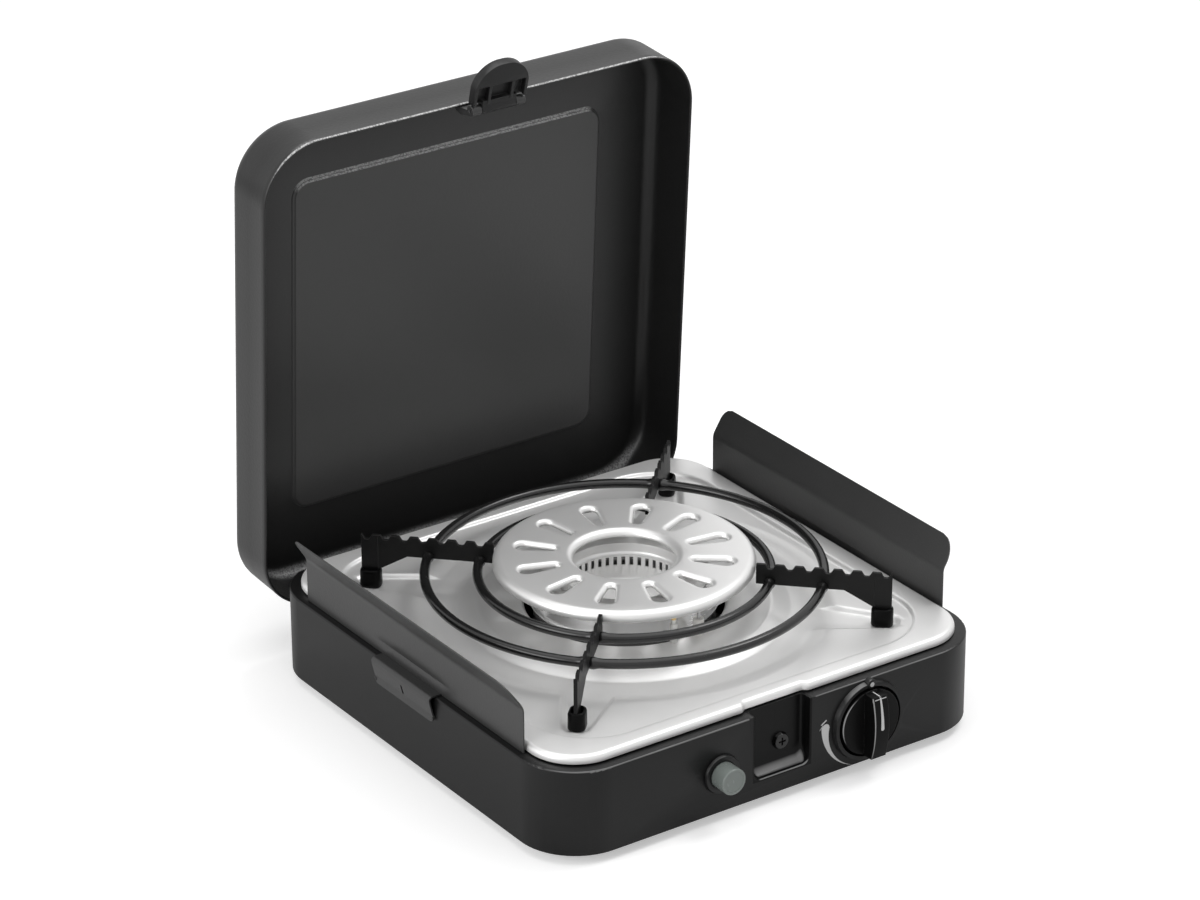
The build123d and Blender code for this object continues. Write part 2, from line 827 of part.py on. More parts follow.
# ---------------------------------------------------------------- gas valve and pipework
valve_back = front_y + valve_front + valve_length
arm_front = front_y + 36.0
arm_back = front_y + 52.0
bore_step = front_y + 28.0
with BuildPart() as valve_body:
    with BuildSketch(face_plane(knob_x, front_y + valve_front, knob_z)):
        Circle(valve_radius)
    extrude(amount=-valve_length)
    with BuildSketch(face_plane(knob_x, arm_front, 0)):
        with BuildLine():
            Polyline(
                (0, knob_z - 6),
                (0, knob_z + 6),
                (jet_x - knob_x + 8, jet_z + 6),
                (jet_x - knob_x - 6, jet_z + 6),
                (jet_x - knob_x - 6, jet_z - 6),
                close=True,
            )
        make_face()
    extrude(amount=-(arm_back - arm_front))
    with BuildSketch(Plane((knob_x, front_y + 44, knob_z), x_dir=(0, 1, 0), z_dir=(1, 0, 0))):
        Circle(6)
    extrude(amount=pipe_x - knob_x - 4)
    with BuildSketch(face_plane(knob_x, front_y + valve_front, knob_z)):
        Circle(spindle_radius + run_gap)
    extrude(amount=-(bore_step - front_y - valve_front), mode=Mode.SUBTRACT)
    with BuildSketch(face_plane(knob_x, bore_step, knob_z)):
        Circle(3.0 + run_gap)
    extrude(amount=-24, mode=Mode.SUBTRACT)
    with BuildSketch(face_plane(jet_x, arm_back, jet_z)):
        Circle(3.0)
    extrude(amount=8, mode=Mode.SUBTRACT)
save(valve_body.part, "valve_body")

with BuildPart() as valve_bracket:
    with BuildSketch(face_plane(knob_x, bracket_y, knob_z)):
        RectangleRounded(2 * bracket_screw_x + 12, 26, 4)
        Circle(spindle_radius + 1.5, mode=Mode.SUBTRACT)
        with Locations((-bracket_screw_x, 0), (bracket_screw_x, 0)):
            Circle(screw_radius - 0.4, mode=Mode.SUBTRACT)
    extrude(amount=-bracket_sheet)
save(valve_bracket.part, "valve_bracket")

with BuildPart() as bracket_screws:
    with BuildSketch(face_plane(knob_x, bracket_y + bracket_sheet, knob_z)):
        with Locations((-bracket_screw_x, 0), (bracket_screw_x, 0)):
            Circle(3.0)
    extrude(amount=-2.0)
    with BuildSketch(face_plane(knob_x, bracket_y + bracket_sheet, knob_z)):
        with Locations((-bracket_screw_x, 0), (bracket_screw_x, 0)):
            Circle(screw_radius - 0.52)
    extrude(amount=bracket_sheet + 6)
save(bracket_screws.part, "bracket_screws")

with BuildPart() as magnet_unit:
    with BuildSketch(face_plane(knob_x, valve_back, knob_z)):
        Circle(magnet_radius)
    extrude(amount=-magnet_length)
    with BuildSketch(face_plane(knob_x, valve_back + magnet_length, knob_z)):
        RegularPolygon(6.0, 6)
    extrude(amount=-6)
save(magnet_unit.part, "magnet_unit")

with BuildPart() as gas_jet:
    with BuildSketch(face_plane(jet_x, arm_back, jet_z)):
        RegularPolygon(5.0, 6)
    extrude(amount=-5)
    with BuildSketch(face_plane(jet_x, arm_back + 5, jet_z)):
        Circle(3.2)
    extrude(amount=-5, taper=20)
    with BuildSketch(face_plane(jet_x, arm_back, jet_z)):
        Circle(3.0 - 0.02)
    extrude(amount=6)
    with BuildSketch(face_plane(jet_x, arm_back + 11, jet_z)):
        Circle(0.6)
    extrude(amount=17, mode=Mode.SUBTRACT)
save(gas_jet.part, "gas_jet")

inlet_seat = rear_y - body_wall - nut_length
with BuildPart() as gas_pipe:
    with BuildLine() as pipe_path:
        FilletPolyline(
            (pipe_x - 4, front_y + 44, knob_z),
            (pipe_x + 16, front_y + 44, knob_z),
            (pipe_x + 16, front_y + 90, pipe_z),
            (pipe_x, front_y + 180, pipe_z),
            (pipe_x, inlet_seat, pipe_z),
            radius=pipe_bend,
        )
    with BuildSketch(pipe_path.line ^ 0):
        Circle(pipe_radius)
    sweep(path=pipe_path.line)
save(gas_pipe.part, "gas_pipe")

with BuildPart() as gas_inlet:
    with BuildSketch(face_plane(pipe_x, inlet_seat, pipe_z)):
        RegularPolygon(inlet_nut, 6)
    extrude(amount=-nut_length)
    with BuildSketch(face_plane(pipe_x, inlet_seat + nut_length, pipe_z)):
        Circle(inlet_shank)
    extrude(amount=-(body_wall + inlet_collar))
    with BuildSketch(face_plane(pipe_x, rear_y + inlet_collar, pipe_z)):
        Circle(inlet_thread)
    extrude(amount=-inlet_length)
    with BuildSketch(face_plane(pipe_x, rear_y + inlet_collar + inlet_length, pipe_z)):
        Circle(pipe_radius)
    extrude(amount=inlet_length, mode=Mode.SUBTRACT)
save(gas_inlet.part, "gas_inlet")

with BuildPart() as thermocouple:
    with BuildSketch(level(bowl_bottom_height + 4, burner_y - probe_circle)):
        with Locations((-probe_spread, 0)):
            Circle(2.2)
    extrude(amount=40)
    with BuildSketch(level(bowl_bottom_height + 44, burner_y - probe_circle)):
        with Locations((-probe_spread, 0)):
            Circle(1.5)
    extrude(amount=5)
    fillet(thermocouple.edges().sort_by(Axis.Z)[-1], 1.2)
save(thermocouple.part, "thermocouple")

with BuildPart() as spark_insulator:
    with BuildSketch(level(bowl_bottom_height + 6, burner_y - probe_circle)):
        with Locations((probe_spread, 0)):
            Circle(3.2)
            Circle(1.0 + run_gap, mode=Mode.SUBTRACT)
    extrude(amount=36)
save(spark_insulator.part, "spark_insulator")

with BuildPart() as spark_electrode:
    spark_top = bowl_bottom_height + 48
    with BuildLine() as spark_path:
        FilletPolyline(
            (probe_spread, burner_y - probe_circle, bowl_bottom_height),
            (probe_spread, burner_y - probe_circle, spark_top),
            (probe_spread, burner_y - probe_circle + 8, spark_top + 3),
            radius=2,
        )
    with BuildSketch(spark_path.line ^ 0):
        Circle(1.0)
    sweep(path=spark_path.line)
save(spark_electrode.part, "spark_electrode")

probe_seat = bowl_bottom_height + 14.0
with BuildPart() as probe_bracket:
    with BuildSketch(level(probe_seat, burner_y - probe_circle)):
        RectangleRounded(34, 14, 2)
        with Locations((-probe_spread, 0)):
            Circle(2.2 + run_gap, mode=Mode.SUBTRACT)
        with Locations((probe_spread, 0)):
            Circle(3.2 + run_gap, mode=Mode.SUBTRACT)
    extrude(amount=bracket_sheet)
    with BuildSketch(level(probe_seat - 6, burner_y)):
        Circle(bowl_rim - 2 + bracket_sheet)
        Circle(bowl_rim - 2, mode=Mode.SUBTRACT)
        with Locations((0, -bowl_rim)):
            Rectangle(22, 14, mode=Mode.INTERSECT)
    extrude(amount=6 + bracket_sheet)
save(probe_bracket.part, "probe_bracket")

# ---------------------------------------------------------------- igniter
with BuildPart() as igniter_body:
    with BuildSketch(face_plane(button_x, front_y, button_z)):
        Circle(collar_radius)
    extrude(amount=collar_reach, taper=20)
    with BuildSketch(face_plane(button_x, front_y, button_z)):
        Circle(igniter_radius)
    extrude(amount=-igniter_length)
    with BuildSketch(face_plane(button_x, front_y + igniter_length, button_z)):
        Circle(4.0)
    extrude(amount=-8)
    with BuildSketch(face_plane(button_x, front_y - collar_reach, button_z)):
        Circle(button_radius + fit_gap)
    extrude(amount=-(collar_reach + 14), mode=Mode.SUBTRACT)
save(igniter_body.part, "igniter_body")

with BuildPart() as igniter_nut:
    with BuildSketch(face_plane(button_x, front_y + body_wall, button_z)):
        RegularPolygon(15.0, 6)
        Circle(igniter_radius + run_gap, mode=Mode.SUBTRACT)
    extrude(amount=-4)
save(igniter_nut.part, "igniter_nut")

with BuildPart() as igniter_button:
    with BuildSketch(face_plane(button_x, front_y + 5, button_z)):
        Circle(button_radius)
    extrude(amount=button_reach + 5)
    fillet(igniter_button.edges().sort_by(Axis.Y)[0], 1.0)
    with BuildSketch(face_plane(button_x, front_y - button_reach, button_z)):
        Circle(button_radius - 1.8)
    extrude(amount=-0.4, mode=Mode.SUBTRACT)
save(igniter_button.part, "igniter_button")

# ---------------------------------------------------------------- knob, spindle and plunger
with BuildPart() as knob:
    face_y = front_y - knob_face
    with BuildSketch(face_plane(knob_x, face_y, knob_z)):
        Circle(knob_radius)
    extrude(amount=-(knob_face + knob_back))
    fillet(knob.edges().sort_by(Axis.Y)[0], 1.0)
    with BuildSketch(face_plane(knob_x, front_y + knob_back, knob_z)):
        Circle(knob_radius - knob_wall)
        Circle(knob_hub, mode=Mode.SUBTRACT)
    extrude(amount=knob_back + knob_face - knob_wall, mode=Mode.SUBTRACT)
    with BuildSketch(face_plane(knob_x, front_y + knob_back, knob_z)):
        Circle(knob_hub)
    extrude(amount=-4)
    # the crowned grip bar
    with BuildSketch(Plane((knob_x - grip_width / 2, 0, knob_z), x_dir=(0, 1, 0), z_dir=(1, 0, 0))):
        with BuildLine():
            grip_end = front_y - grip_reach + 3.0
            ThreePointArc(
                (grip_end, -knob_radius + 0.6),
                (front_y - grip_reach, 0),
                (grip_end, knob_radius - 0.6),
            )
            Polyline(
                (grip_end, knob_radius - 0.6),
                (face_y + 1, knob_radius - 0.6),
                (face_y + 1, -knob_radius + 0.6),
                (grip_end, -knob_radius + 0.6),
            )
        make_face()
    extrude(amount=grip_width)
    fillet(
        knob.faces().filter_by(GeomType.CYLINDER).sort_by(Axis.Y)[0].edges(),
        0.9,
    )
    with BuildSketch(face_plane(knob_x, front_y + knob_back + 4, knob_z)):
        Circle(spindle_radius)
        with Locations((0, spindle_flat + 5)):
            Rectangle(20, 10, mode=Mode.SUBTRACT)
    extrude(amount=knob_back + 4 + 2, mode=Mode.SUBTRACT)
save(knob.part, "knob")

with BuildPart() as valve_spindle:
    with BuildSketch(face_plane(knob_x, front_y + 24, knob_z)):
        Circle(spindle_radius)
    extrude(amount=24 - knob_back - 5)
    with BuildSketch(face_plane(knob_x, front_y + knob_back + 5, knob_z)):
        Circle(spindle_radius)
        with Locations((0, spindle_flat + 5)):
            Rectangle(20, 10, mode=Mode.SUBTRACT)
    extrude(amount=knob_back + 5 + 2)
save(valve_spindle.part, "valve_spindle")

with BuildPart() as valve_plunger:
    with BuildSketch(face_plane(knob_x, front_y + 24 + fit_gap, knob_z)):
        Circle(3.0)
    extrude(amount=-22)
save(valve_plunger.part, "valve_plunger")

# ---------------------------------------------------------------- pan support
arm_names = {"front_right": -45, "front_left": -135, "rear_left": 135, "rear_right": 45}
boot_low = dish_z + seat_gap
boot_middle = boot_outer - boot_length / 2
foot_of_arm = boot_low + 2.0
arm_gusset = arm_outer - gusset_back


def arm_plane(angle):
    """The upright plane through the burner's axis along one arm."""
    turn = radians(angle)
    return Plane(
        (0, burner_y, 0),
        x_dir=(cos(turn), sin(turn), 0),
        z_dir=(sin(turn), -cos(turn), 0),
    )


for ring_name, ring_radius in (("outer_ring", outer_ring_radius), ("inner_ring", inner_ring_radius)):
    with BuildPart() as ring:
        with BuildSketch(upright):
            with Locations((ring_radius, ring_height)):
                Circle(wire_radius)
        revolve(axis=burner_axis)
    save(ring.part, ring_name)

for arm_name, angle in arm_names.items():
    with BuildPart() as arm:
        with BuildSketch(arm_plane(angle)):
            with BuildLine():
                Polyline(
                    (arm_inner, arm_bottom),
                    (arm_inner, arm_top),
                    (arm_outer, arm_top),
                    (arm_outer, foot_of_arm),
                    (arm_outer - arm_leg, foot_of_arm),
                    (arm_outer - arm_leg, boot_low + boot_height),
                    (arm_gusset, arm_bottom),
                    close=True,
                )
            make_face()
            # scallops along the top edge keep a pan from sliding
            scallops = int((arm_outer - arm_inner) / scallop_pitch)
            with Locations(
                *[
                    (arm_outer - scallop_inset - i * scallop_pitch, arm_top + 1.2)
                    for i in range(scallops)
                ]
            ):
                Circle(scallop_depth + 0.6, mode=Mode.SUBTRACT)
            # the rings lie in open notches of the lower edge
            with Locations((outer_ring_radius, ring_height), (inner_ring_radius, ring_height)):
                Circle(wire_radius + run_gap, mode=Mode.SUBTRACT)
            with Locations(
                (outer_ring_radius, ring_height - wire_radius),
                (inner_ring_radius, ring_height - wire_radius),
            ):
                Rectangle(2 * (wire_radius + run_gap), 2 * wire_radius, mode=Mode.SUBTRACT)
        extrude(amount=arm_thickness / 2, both=True)
    save(arm.part, f"arm_{arm_name}")

    with BuildPart() as boot:
        turn = radians(angle)
        boot_plane = Plane(
            (boot_middle * cos(turn), burner_y + boot_middle * sin(turn), boot_low),
            x_dir=(cos(turn), sin(turn), 0),
            z_dir=(0, 0, 1),
        )
        with BuildSketch(boot_plane):
            RectangleRounded(boot_length, boot_width, boot_corner)
        extrude(amount=boot_height)
        with BuildSketch(boot_plane.offset(foot_of_arm - boot_low)):
            with Locations((arm_outer - arm_leg / 2 - boot_middle, 0)):
                Rectangle(arm_leg + 2 * run_gap, arm_thickness + 2 * run_gap)
        extrude(amount=boot_height, mode=Mode.SUBTRACT)
        with BuildSketch(boot_plane.offset(boot_height - 2.5)):
            RectangleRounded(boot_length - 3, boot_width - 3, boot_corner - 1)
        extrude(amount=2.5, mode=Mode.SUBTRACT)
    save(boot.part, f"boot_{arm_name}")

# ---------------------------------------------------------------- windshields
shield_z = deck_top + seat_gap
flare_top = shield_height + flare_height
for side_name, side in (("left", -1), ("right", 1)):
    with BuildPart() as windshield:
        profile_plane = Plane((side * shield_x, front_y + shield_front, shield_z),
                              x_dir=(side, 0, 0), z_dir=(0, -side, 0))
        with BuildSketch(profile_plane):
            with BuildLine():
                FilletPolyline(
                    (0, 0),
                    (0, shield_height),
                    (1.1 * flare_reach, shield_height + 1.1 * flare_height),
                    radius=shield_bend,
                )
            trace(line_width=shield_sheet)
        extrude(amount=-side * shield_length)
        side_plane = Plane((side * shield_x, front_y + shield_front, shield_z),
                           x_dir=(0, 1, 0), z_dir=(1, 0, 0))
        with BuildSketch(side_plane):
            with BuildLine():
                Line((0, -30), (0, flare_top - shield_front_corner))
                RadiusArc(
                    (0, flare_top - shield_front_corner),
                    (shield_front_corner, flare_top),
                    shield_front_corner,
                )
                Line((shield_front_corner, flare_top), (shield_length - shield_rear_corner, flare_top))
                RadiusArc(
                    (shield_length - shield_rear_corner, flare_top),
                    (shield_length, flare_top - shield_rear_corner),
                    shield_rear_corner,
                )
                Polyline(
                    (shield_length, flare_top - shield_rear_corner),
                    (shield_length, -30),
                    (0, -30),
                )
            make_face()
        extrude(amount=40, both=True, mode=Mode.INTERSECT)
        # the window and the clip that hooks over the casing's edge
        clip_start = (shield_length - clip_length) / 2
        with BuildSketch(side_plane):
            with Locations((shield_length / 2, shield_sheet + clip_window / 2)):
                Rectangle(clip_length, clip_window)
        extrude(amount=5, both=True, mode=Mode.SUBTRACT)
        clip_out = body_width / 2 - shield_x + fit_gap
        clip_plane = Plane(
            (side * shield_x, front_y + shield_front + clip_start, shield_z),
            x_dir=(side, 0, 0),
            z_dir=(0, -side, 0),
        )
        with BuildSketch(clip_plane):
            with BuildLine():
                FilletPolyline(
                    (0, shield_sheet / 2),
                    (clip_out + shield_sheet / 2, shield_sheet / 2),
                    (clip_out + shield_sheet / 2, -clip_drop),
                    radius=clip_bend,
                )
            trace(line_width=shield_sheet)
        extrude(amount=-side * clip_length)
        with BuildSketch(side_plane):
            with Locations((shield_length / 2 + 4, -clip_drop / 2)):
                SlotOverall(9, 2.2, rotation=90)
        extrude(amount=12, both=True, mode=Mode.SUBTRACT)
    save(windshield.part, f"windshield_{side_name}")

# ---------------------------------------------------------------- lid
lid_middle = lid_length / 2


def lid_block(inset):
    """The lid's solid block, moved in by inset on every side but the open one."""
    with BuildPart(mode=Mode.PRIVATE) as block:
        with BuildSketch(lid_plane):
            with Locations((0, lid_middle)):
                rounded(lid_width - 2 * inset, lid_length - 2 * inset, lid_corner - inset)
        extrude(amount=-(lid_depth - inset))
        back = block.faces().sort_by(Axis(lid_plane.origin, lid_plane.z_dir))[0]
        fillet(back.edges(), lid_edge - inset)
    return block.part


with BuildPart() as lid_shell:
    add(lid_block(0))
    add(lid_block(lid_sheet), mode=Mode.SUBTRACT)
    # the folded hem round the open edge
    with BuildSketch(lid_plane):
        with Locations((0, lid_middle)):
            RectangleRounded(lid_width, lid_length, lid_corner)
            RectangleRounded(
                lid_width - 3.4 * lid_sheet,
                lid_length - 3.4 * lid_sheet,
                lid_corner - 1.7 * lid_sheet,
                mode=Mode.SUBTRACT,
            )
    extrude(amount=-hem_height)
    # the square panel pressed inwards
    with BuildSketch(lid_plane.offset(-(lid_depth - lid_sheet))):
        with Locations((0, lid_middle)):
            RectangleRounded(emboss_size, emboss_size, emboss_corner)
    extrude(amount=emboss_depth, taper=40)
    with BuildSketch(lid_plane.offset(-lid_depth)):
        with Locations((0, lid_middle)):
            RectangleRounded(emboss_size, emboss_size, emboss_corner)
    extrude(amount=emboss_depth, taper=40, mode=Mode.SUBTRACT)
save(lid_shell.part, "lid_shell")

flange_depth = 20.0
flange_sheet = 2.4
rivet_depths = (-9.0, -17.0)
for side_name, side in (("left", -1), ("right", 1)):
    with BuildPart() as hinge_arm:
        with BuildSketch(lid_section(side * hinge_x - arm_width / 2)):
            with BuildLine():
                Polyline(
                    (lid_sheet, -flange_depth),
                    (lid_sheet + flange_sheet, -flange_depth),
                    (lid_sheet + flange_sheet, -4),
                (lid_sheet + flange_sheet + 2, 0),
                    (hub_u - 2.5, hub_w - hub_radius + 1),
                    (hub_u - 4.5, hub_w + 2.0),
                    (lid_sheet + 0.9, 4.5),
                    (lid_sheet + 0.9, -hem_height - 1),
                    (lid_sheet, -hem_height - 1),
                    close=True,
                )
            make_face()
            with Locations((hub_u, hub_w)):
                Circle(hub_radius)
                Circle(pin_radius + run_gap, mode=Mode.SUBTRACT)
        extrude(amount=arm_width)
    save(hinge_arm.part, f"hinge_arm_{side_name}")

with BuildPart() as arm_rivets:
    rivet_plane = Plane(
        lid_plane.from_local_coords(Vector(0, 0, 0)), x_dir=(1, 0, 0), z_dir=lid_plane.y_dir
    )
    with BuildSketch(rivet_plane.offset(lid_sheet + flange_sheet)):
        with Locations(*[(side * hinge_x, -w) for side in (-1, 1) for w in rivet_depths]):
            Circle(2.6)
    extrude(amount=1.2, taper=25)
save(arm_rivets.part, "arm_rivets")

# ---------------------------------------------------------------- latch
latch_u = lid_length - latch_back
bracket_half = latch_width / 2
knuckle = 6.5
with BuildPart() as latch_bracket:
    with BuildSketch(lid_section(latch_x - bracket_half)):
        with BuildLine():
            Polyline(
                (lid_length - lid_sheet * 1.7, -12),
                (lid_length - lid_sheet * 1.7 - 2.2, -12),
                (lid_length - lid_sheet * 1.7 - 5.0, 0),
                (latch_u - barrel_radius, latch_reach),
                (latch_u, latch_reach),
                (lid_length - lid_sheet * 1.7, 0),
                close=True,
            )
        make_face()
        with Locations((latch_u, latch_reach)):
            Circle(barrel_radius)
        with Locations((latch_u, latch_reach)):
            Circle(latch_pin_radius + run_gap, mode=Mode.SUBTRACT)
    extrude(amount=2 * bracket_half)
    with BuildSketch(lid_section(latch_x - bracket_half + knuckle)):
        with Locations((latch_u, latch_reach)):
            Circle(barrel_radius + 1.6)
    extrude(amount=2 * (bracket_half - knuckle), mode=Mode.SUBTRACT)
save(latch_bracket.part, "latch_bracket")

with BuildPart() as latch_pin:
    with BuildSketch(lid_section(latch_x - bracket_half)):
        with Locations((latch_u, latch_reach)):
            Circle(latch_pin_radius)
    extrude(amount=2 * bracket_half)
save(latch_pin.part, "latch_pin")

tilt = radians(latch_lean)
latch_origin = lid_plane.from_local_coords(Vector(latch_x, latch_u, latch_reach))
latch_up = lid_plane.y_dir * cos(tilt) + lid_plane.z_dir * sin(tilt)
latch_face = lid_plane.z_dir * cos(tilt) - lid_plane.y_dir * sin(tilt)
latch_plane = Plane(latch_origin, x_dir=(1, 0, 0), z_dir=latch_face)
barrel_half = bracket_half - knuckle - fit_gap
with BuildPart() as latch:
    skin_back = -latch_thickness / 2
    with BuildSketch(latch_plane.offset(skin_back)):
        with BuildLine():
            Line((-bracket_half, barrel_radius + 1), (-bracket_half, latch_length - latch_arch))
            ThreePointArc(
                (-bracket_half, latch_length - latch_arch),
                (-bracket_half * 0.62, latch_length - latch_arch * 0.22),
                (0, latch_length),
            )
            ThreePointArc(
                (0, latch_length),
                (bracket_half * 0.62, latch_length - latch_arch * 0.22),
                (bracket_half, latch_length - latch_arch),
            )
            Polyline(
                (bracket_half, latch_length - latch_arch),
                (bracket_half, barrel_radius + 1),
                (-bracket_half, barrel_radius + 1),
            )
        make_face()
    extrude(amount=latch_thickness)
    # pockets on the inner side, with ribs between them
    pocket_top = latch_length - latch_arch + 1.0
    pocket_low = barrel_radius - 1.0
    rib = 2.0
    rib_places = (-8.0, 8.0)
    edges = [-bracket_half + rib, rib_places[0] - rib / 2, rib_places[0] + rib / 2]
    edges += [rib_places[1] - rib / 2, rib_places[1] + rib / 2, bracket_half - rib]
    with BuildSketch(latch_plane.offset(latch_thickness / 2)):
        for low, high in zip(edges[0::2], edges[1::2]):
            with Locations(((low + high) / 2, (pocket_top + pocket_low) / 2)):
                Rectangle(high - low, pocket_top - pocket_low)
    extrude(amount=-(latch_thickness - latch_skin), mode=Mode.SUBTRACT)
    # the barrel and the webs that join it to the tongue
    barrel_plane = Plane(latch_origin - Vector(barrel_half, 0, 0), x_dir=latch_up, z_dir=(1, 0, 0))
    with BuildSketch(barrel_plane):
        Circle(barrel_radius)
        with Locations((barrel_radius / 2 + 1.5, 0)):
            Rectangle(barrel_radius + 3, latch_thickness - 1)
        Circle(latch_pin_radius + run_gap, mode=Mode.SUBTRACT)
    extrude(amount=2 * barrel_half)
save(latch.part, "latch")
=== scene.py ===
"""Camping cooker: surfaces, finishes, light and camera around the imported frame.

Sizes are in millimetres and become metres where a mesh is made. The axes are the frame's: +Z up,
the knob side towards -Y, and the open lid at +Y.
"""
import logging
import math
from dataclasses import dataclass
from enum import Enum
from typing import Any, Iterable, Sequence

import bmesh
import bpy
import numpy as np
from mathutils import Matrix, Vector


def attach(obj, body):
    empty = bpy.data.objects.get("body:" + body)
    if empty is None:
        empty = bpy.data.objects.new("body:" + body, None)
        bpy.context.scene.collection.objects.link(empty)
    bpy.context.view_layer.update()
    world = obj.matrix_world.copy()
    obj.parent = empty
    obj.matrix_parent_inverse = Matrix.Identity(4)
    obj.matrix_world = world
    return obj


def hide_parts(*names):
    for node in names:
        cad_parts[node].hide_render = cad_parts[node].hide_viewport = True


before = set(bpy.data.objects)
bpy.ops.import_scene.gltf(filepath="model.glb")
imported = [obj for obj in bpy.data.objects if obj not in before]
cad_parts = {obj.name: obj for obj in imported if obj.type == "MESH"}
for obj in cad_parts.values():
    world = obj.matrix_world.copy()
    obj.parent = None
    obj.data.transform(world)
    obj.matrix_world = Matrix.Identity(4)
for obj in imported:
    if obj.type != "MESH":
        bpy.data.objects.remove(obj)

log = logging.getLogger("cooker")
MM = 0.001
Array = np.ndarray
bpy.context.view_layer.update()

FRONT_Y = -171.2
BODY_WIDTH = 310.0
BODY_DEPTH = 313.0
REAR_Y = FRONT_Y + BODY_DEPTH
BURNER_Y = FRONT_Y + BODY_DEPTH / 2
DECK = 60.0


# ------------------------------------------------------------------ shader expressions
class Wire:
    """A node socket in Python expressions: each operation on it adds its Math node."""

    def __init__(self, tree: "Tree", socket: Any) -> None:
        """Keeps the socket with the tree that it belongs to."""
        self.tree = tree
        self.socket = socket

    def _math(self, operation: str, *values: Any) -> "Wire":
        """Adds one Math node for an operation on values."""
        return self.tree.node("ShaderNodeMath", {"operation": operation}, *values)

    def __add__(self, other: Any) -> "Wire":
        """Sum."""
        return self._math("ADD", self, other)

    __radd__ = __add__

    def __mul__(self, other: Any) -> "Wire":
        """Product."""
        return self._math("MULTIPLY", self, other)

    __rmul__ = __mul__

    def __sub__(self, other: Any) -> "Wire":
        """Difference."""
        return self._math("SUBTRACT", self, other)

    def __rsub__(self, other: Any) -> "Wire":
        """Difference with this socket second."""
        return self._math("SUBTRACT", other, self)

    def clamp(self) -> "Wire":
        """The value kept between 0 and 1."""
        return self.tree.node("ShaderNodeClamp", {}, self)


class Tree:
    """The node tree of a material or a world, with one method that makes any node."""

    def __init__(self, name: str, world: bool = False) -> None:
        """Starts an empty tree with an output node.

        Args:
            name: The material's or world's name.
            world: True for a world.
        """
        self.owner = (bpy.data.worlds if world else bpy.data.materials).new(name)
        self.owner.use_nodes = True
        self.links = self.owner.node_tree.links
        self.nodes = self.owner.node_tree.nodes
        self.nodes.clear()
        self.output = self.nodes.new("ShaderNodeOutputWorld" if world else "ShaderNodeOutputMaterial")

    def node(
        self, kind: str, settings: dict[str, Any], *values: Any, out: int | str = 0, **named: Any
    ) -> Wire:
        """Makes a node.

        Args:
            kind: The node's type name.
            settings: Properties set before any socket; "stops" fills a colour ramp.
            values: Values or wires of the first sockets, in order; None leaves a socket alone.
            out: The output socket's index or name.
            named: Values or wires of sockets by name, with _ for a space.

        Returns:
            The chosen output as a wire.
        """
        made = self.nodes.new(kind)
        for key, value in settings.items():
            if key == "stops":
                for element, (place, level) in zip(made.color_ramp.elements, value, strict=True):
                    element.position = place
                    element.color = grey(level)
            else:
                setattr(made, key, value)
        pairs = list(enumerate(values)) + [(key.replace("_", " "), v) for key, v in named.items()]
        for key, value in pairs:
            if isinstance(value, Wire):
                self.links.new(value.socket, made.inputs[key])
            elif value is not None:
                made.inputs[key].default_value = value
        return Wire(self, made.outputs[out])

    def place(self, scale: tuple[float, float, float] = (1.0, 1.0, 1.0)) -> Wire:
        """Object coordinates in metres, stretched by scale."""
        coords = self.node("ShaderNodeTexCoord", {}, out="Object")
        return self.node("ShaderNodeMapping", {}, coords, Scale=scale)

    def noise(self, where: Wire, scale: float, detail: float = 3.0, rough: float = 0.5) -> Wire:
        """Fractal noise from 0 to 1 at a place."""
        return self.node(
            "ShaderNodeTexNoise", {}, Vector=where, Scale=scale, Detail=detail, Roughness=rough, out="Fac"
        )

    def ramp(self, value: Wire, start: float, end: float, low: float = 0.0, high: float = 1.0) -> Wire:
        """A value led from low, up to start, to high, from end on."""
        return self.node("ShaderNodeValToRGB", {"stops": ((start, low), (end, high))}, value)

    def blend(self, factor: Any, first: Any, second: Any) -> Wire:
        """A colour between first at 0 and second at 1."""
        other_kinds = [None] * 5
        return self.node("ShaderNodeMix", {"data_type": "RGBA"}, factor, *other_kinds, first, second, out=2)

    def bump(self, height: Wire, distance: float) -> Wire:
        """A normal from a height, distance in metres."""
        return self.node("ShaderNodeBump", {}, Height=height, Distance=distance, Strength=1.0)

    def painted(self, attribute: str) -> Wire:
        """A mesh attribute's number at each point."""
        return self.node("ShaderNodeAttribute", {"attribute_name": attribute}, out="Fac")

    def slanted(self, way: tuple[float, float, float], start: float, full: float) -> Wire:
        """Tells how well the surface faces a direction, by the cosine of the angle between them.

        Args:
            way: The direction.
            start: The cosine up to which the result is 0.
            full: The cosine from which it is 1.

        Returns:
            A number from 0 to 1.
        """
        normal = self.node("ShaderNodeNewGeometry", {}, out="Normal")
        dot = {"operation": "DOT_PRODUCT"}
        return self.ramp(self.node("ShaderNodeVectorMath", dot, normal, way, out="Value"), start, full)

    def end(self, shader: Wire) -> bpy.types.ID:
        """Links a shader to the output and returns the material or world."""
        self.links.new(shader.socket, self.output.inputs["Surface"])
        return self.owner

    def surface(self, **sockets: Any) -> bpy.types.Material:
        """Ends the tree in a Principled shader and returns the material."""
        return self.end(self.node("ShaderNodeBsdfPrincipled", {}, **sockets))


def grey(level: float, tint: tuple[float, float, float] = (1.0, 1.0, 1.0)) -> tuple[float, ...]:
    """A colour of a brightness with a slight tint."""
    return (*(level * share for share in tint), 1.0)


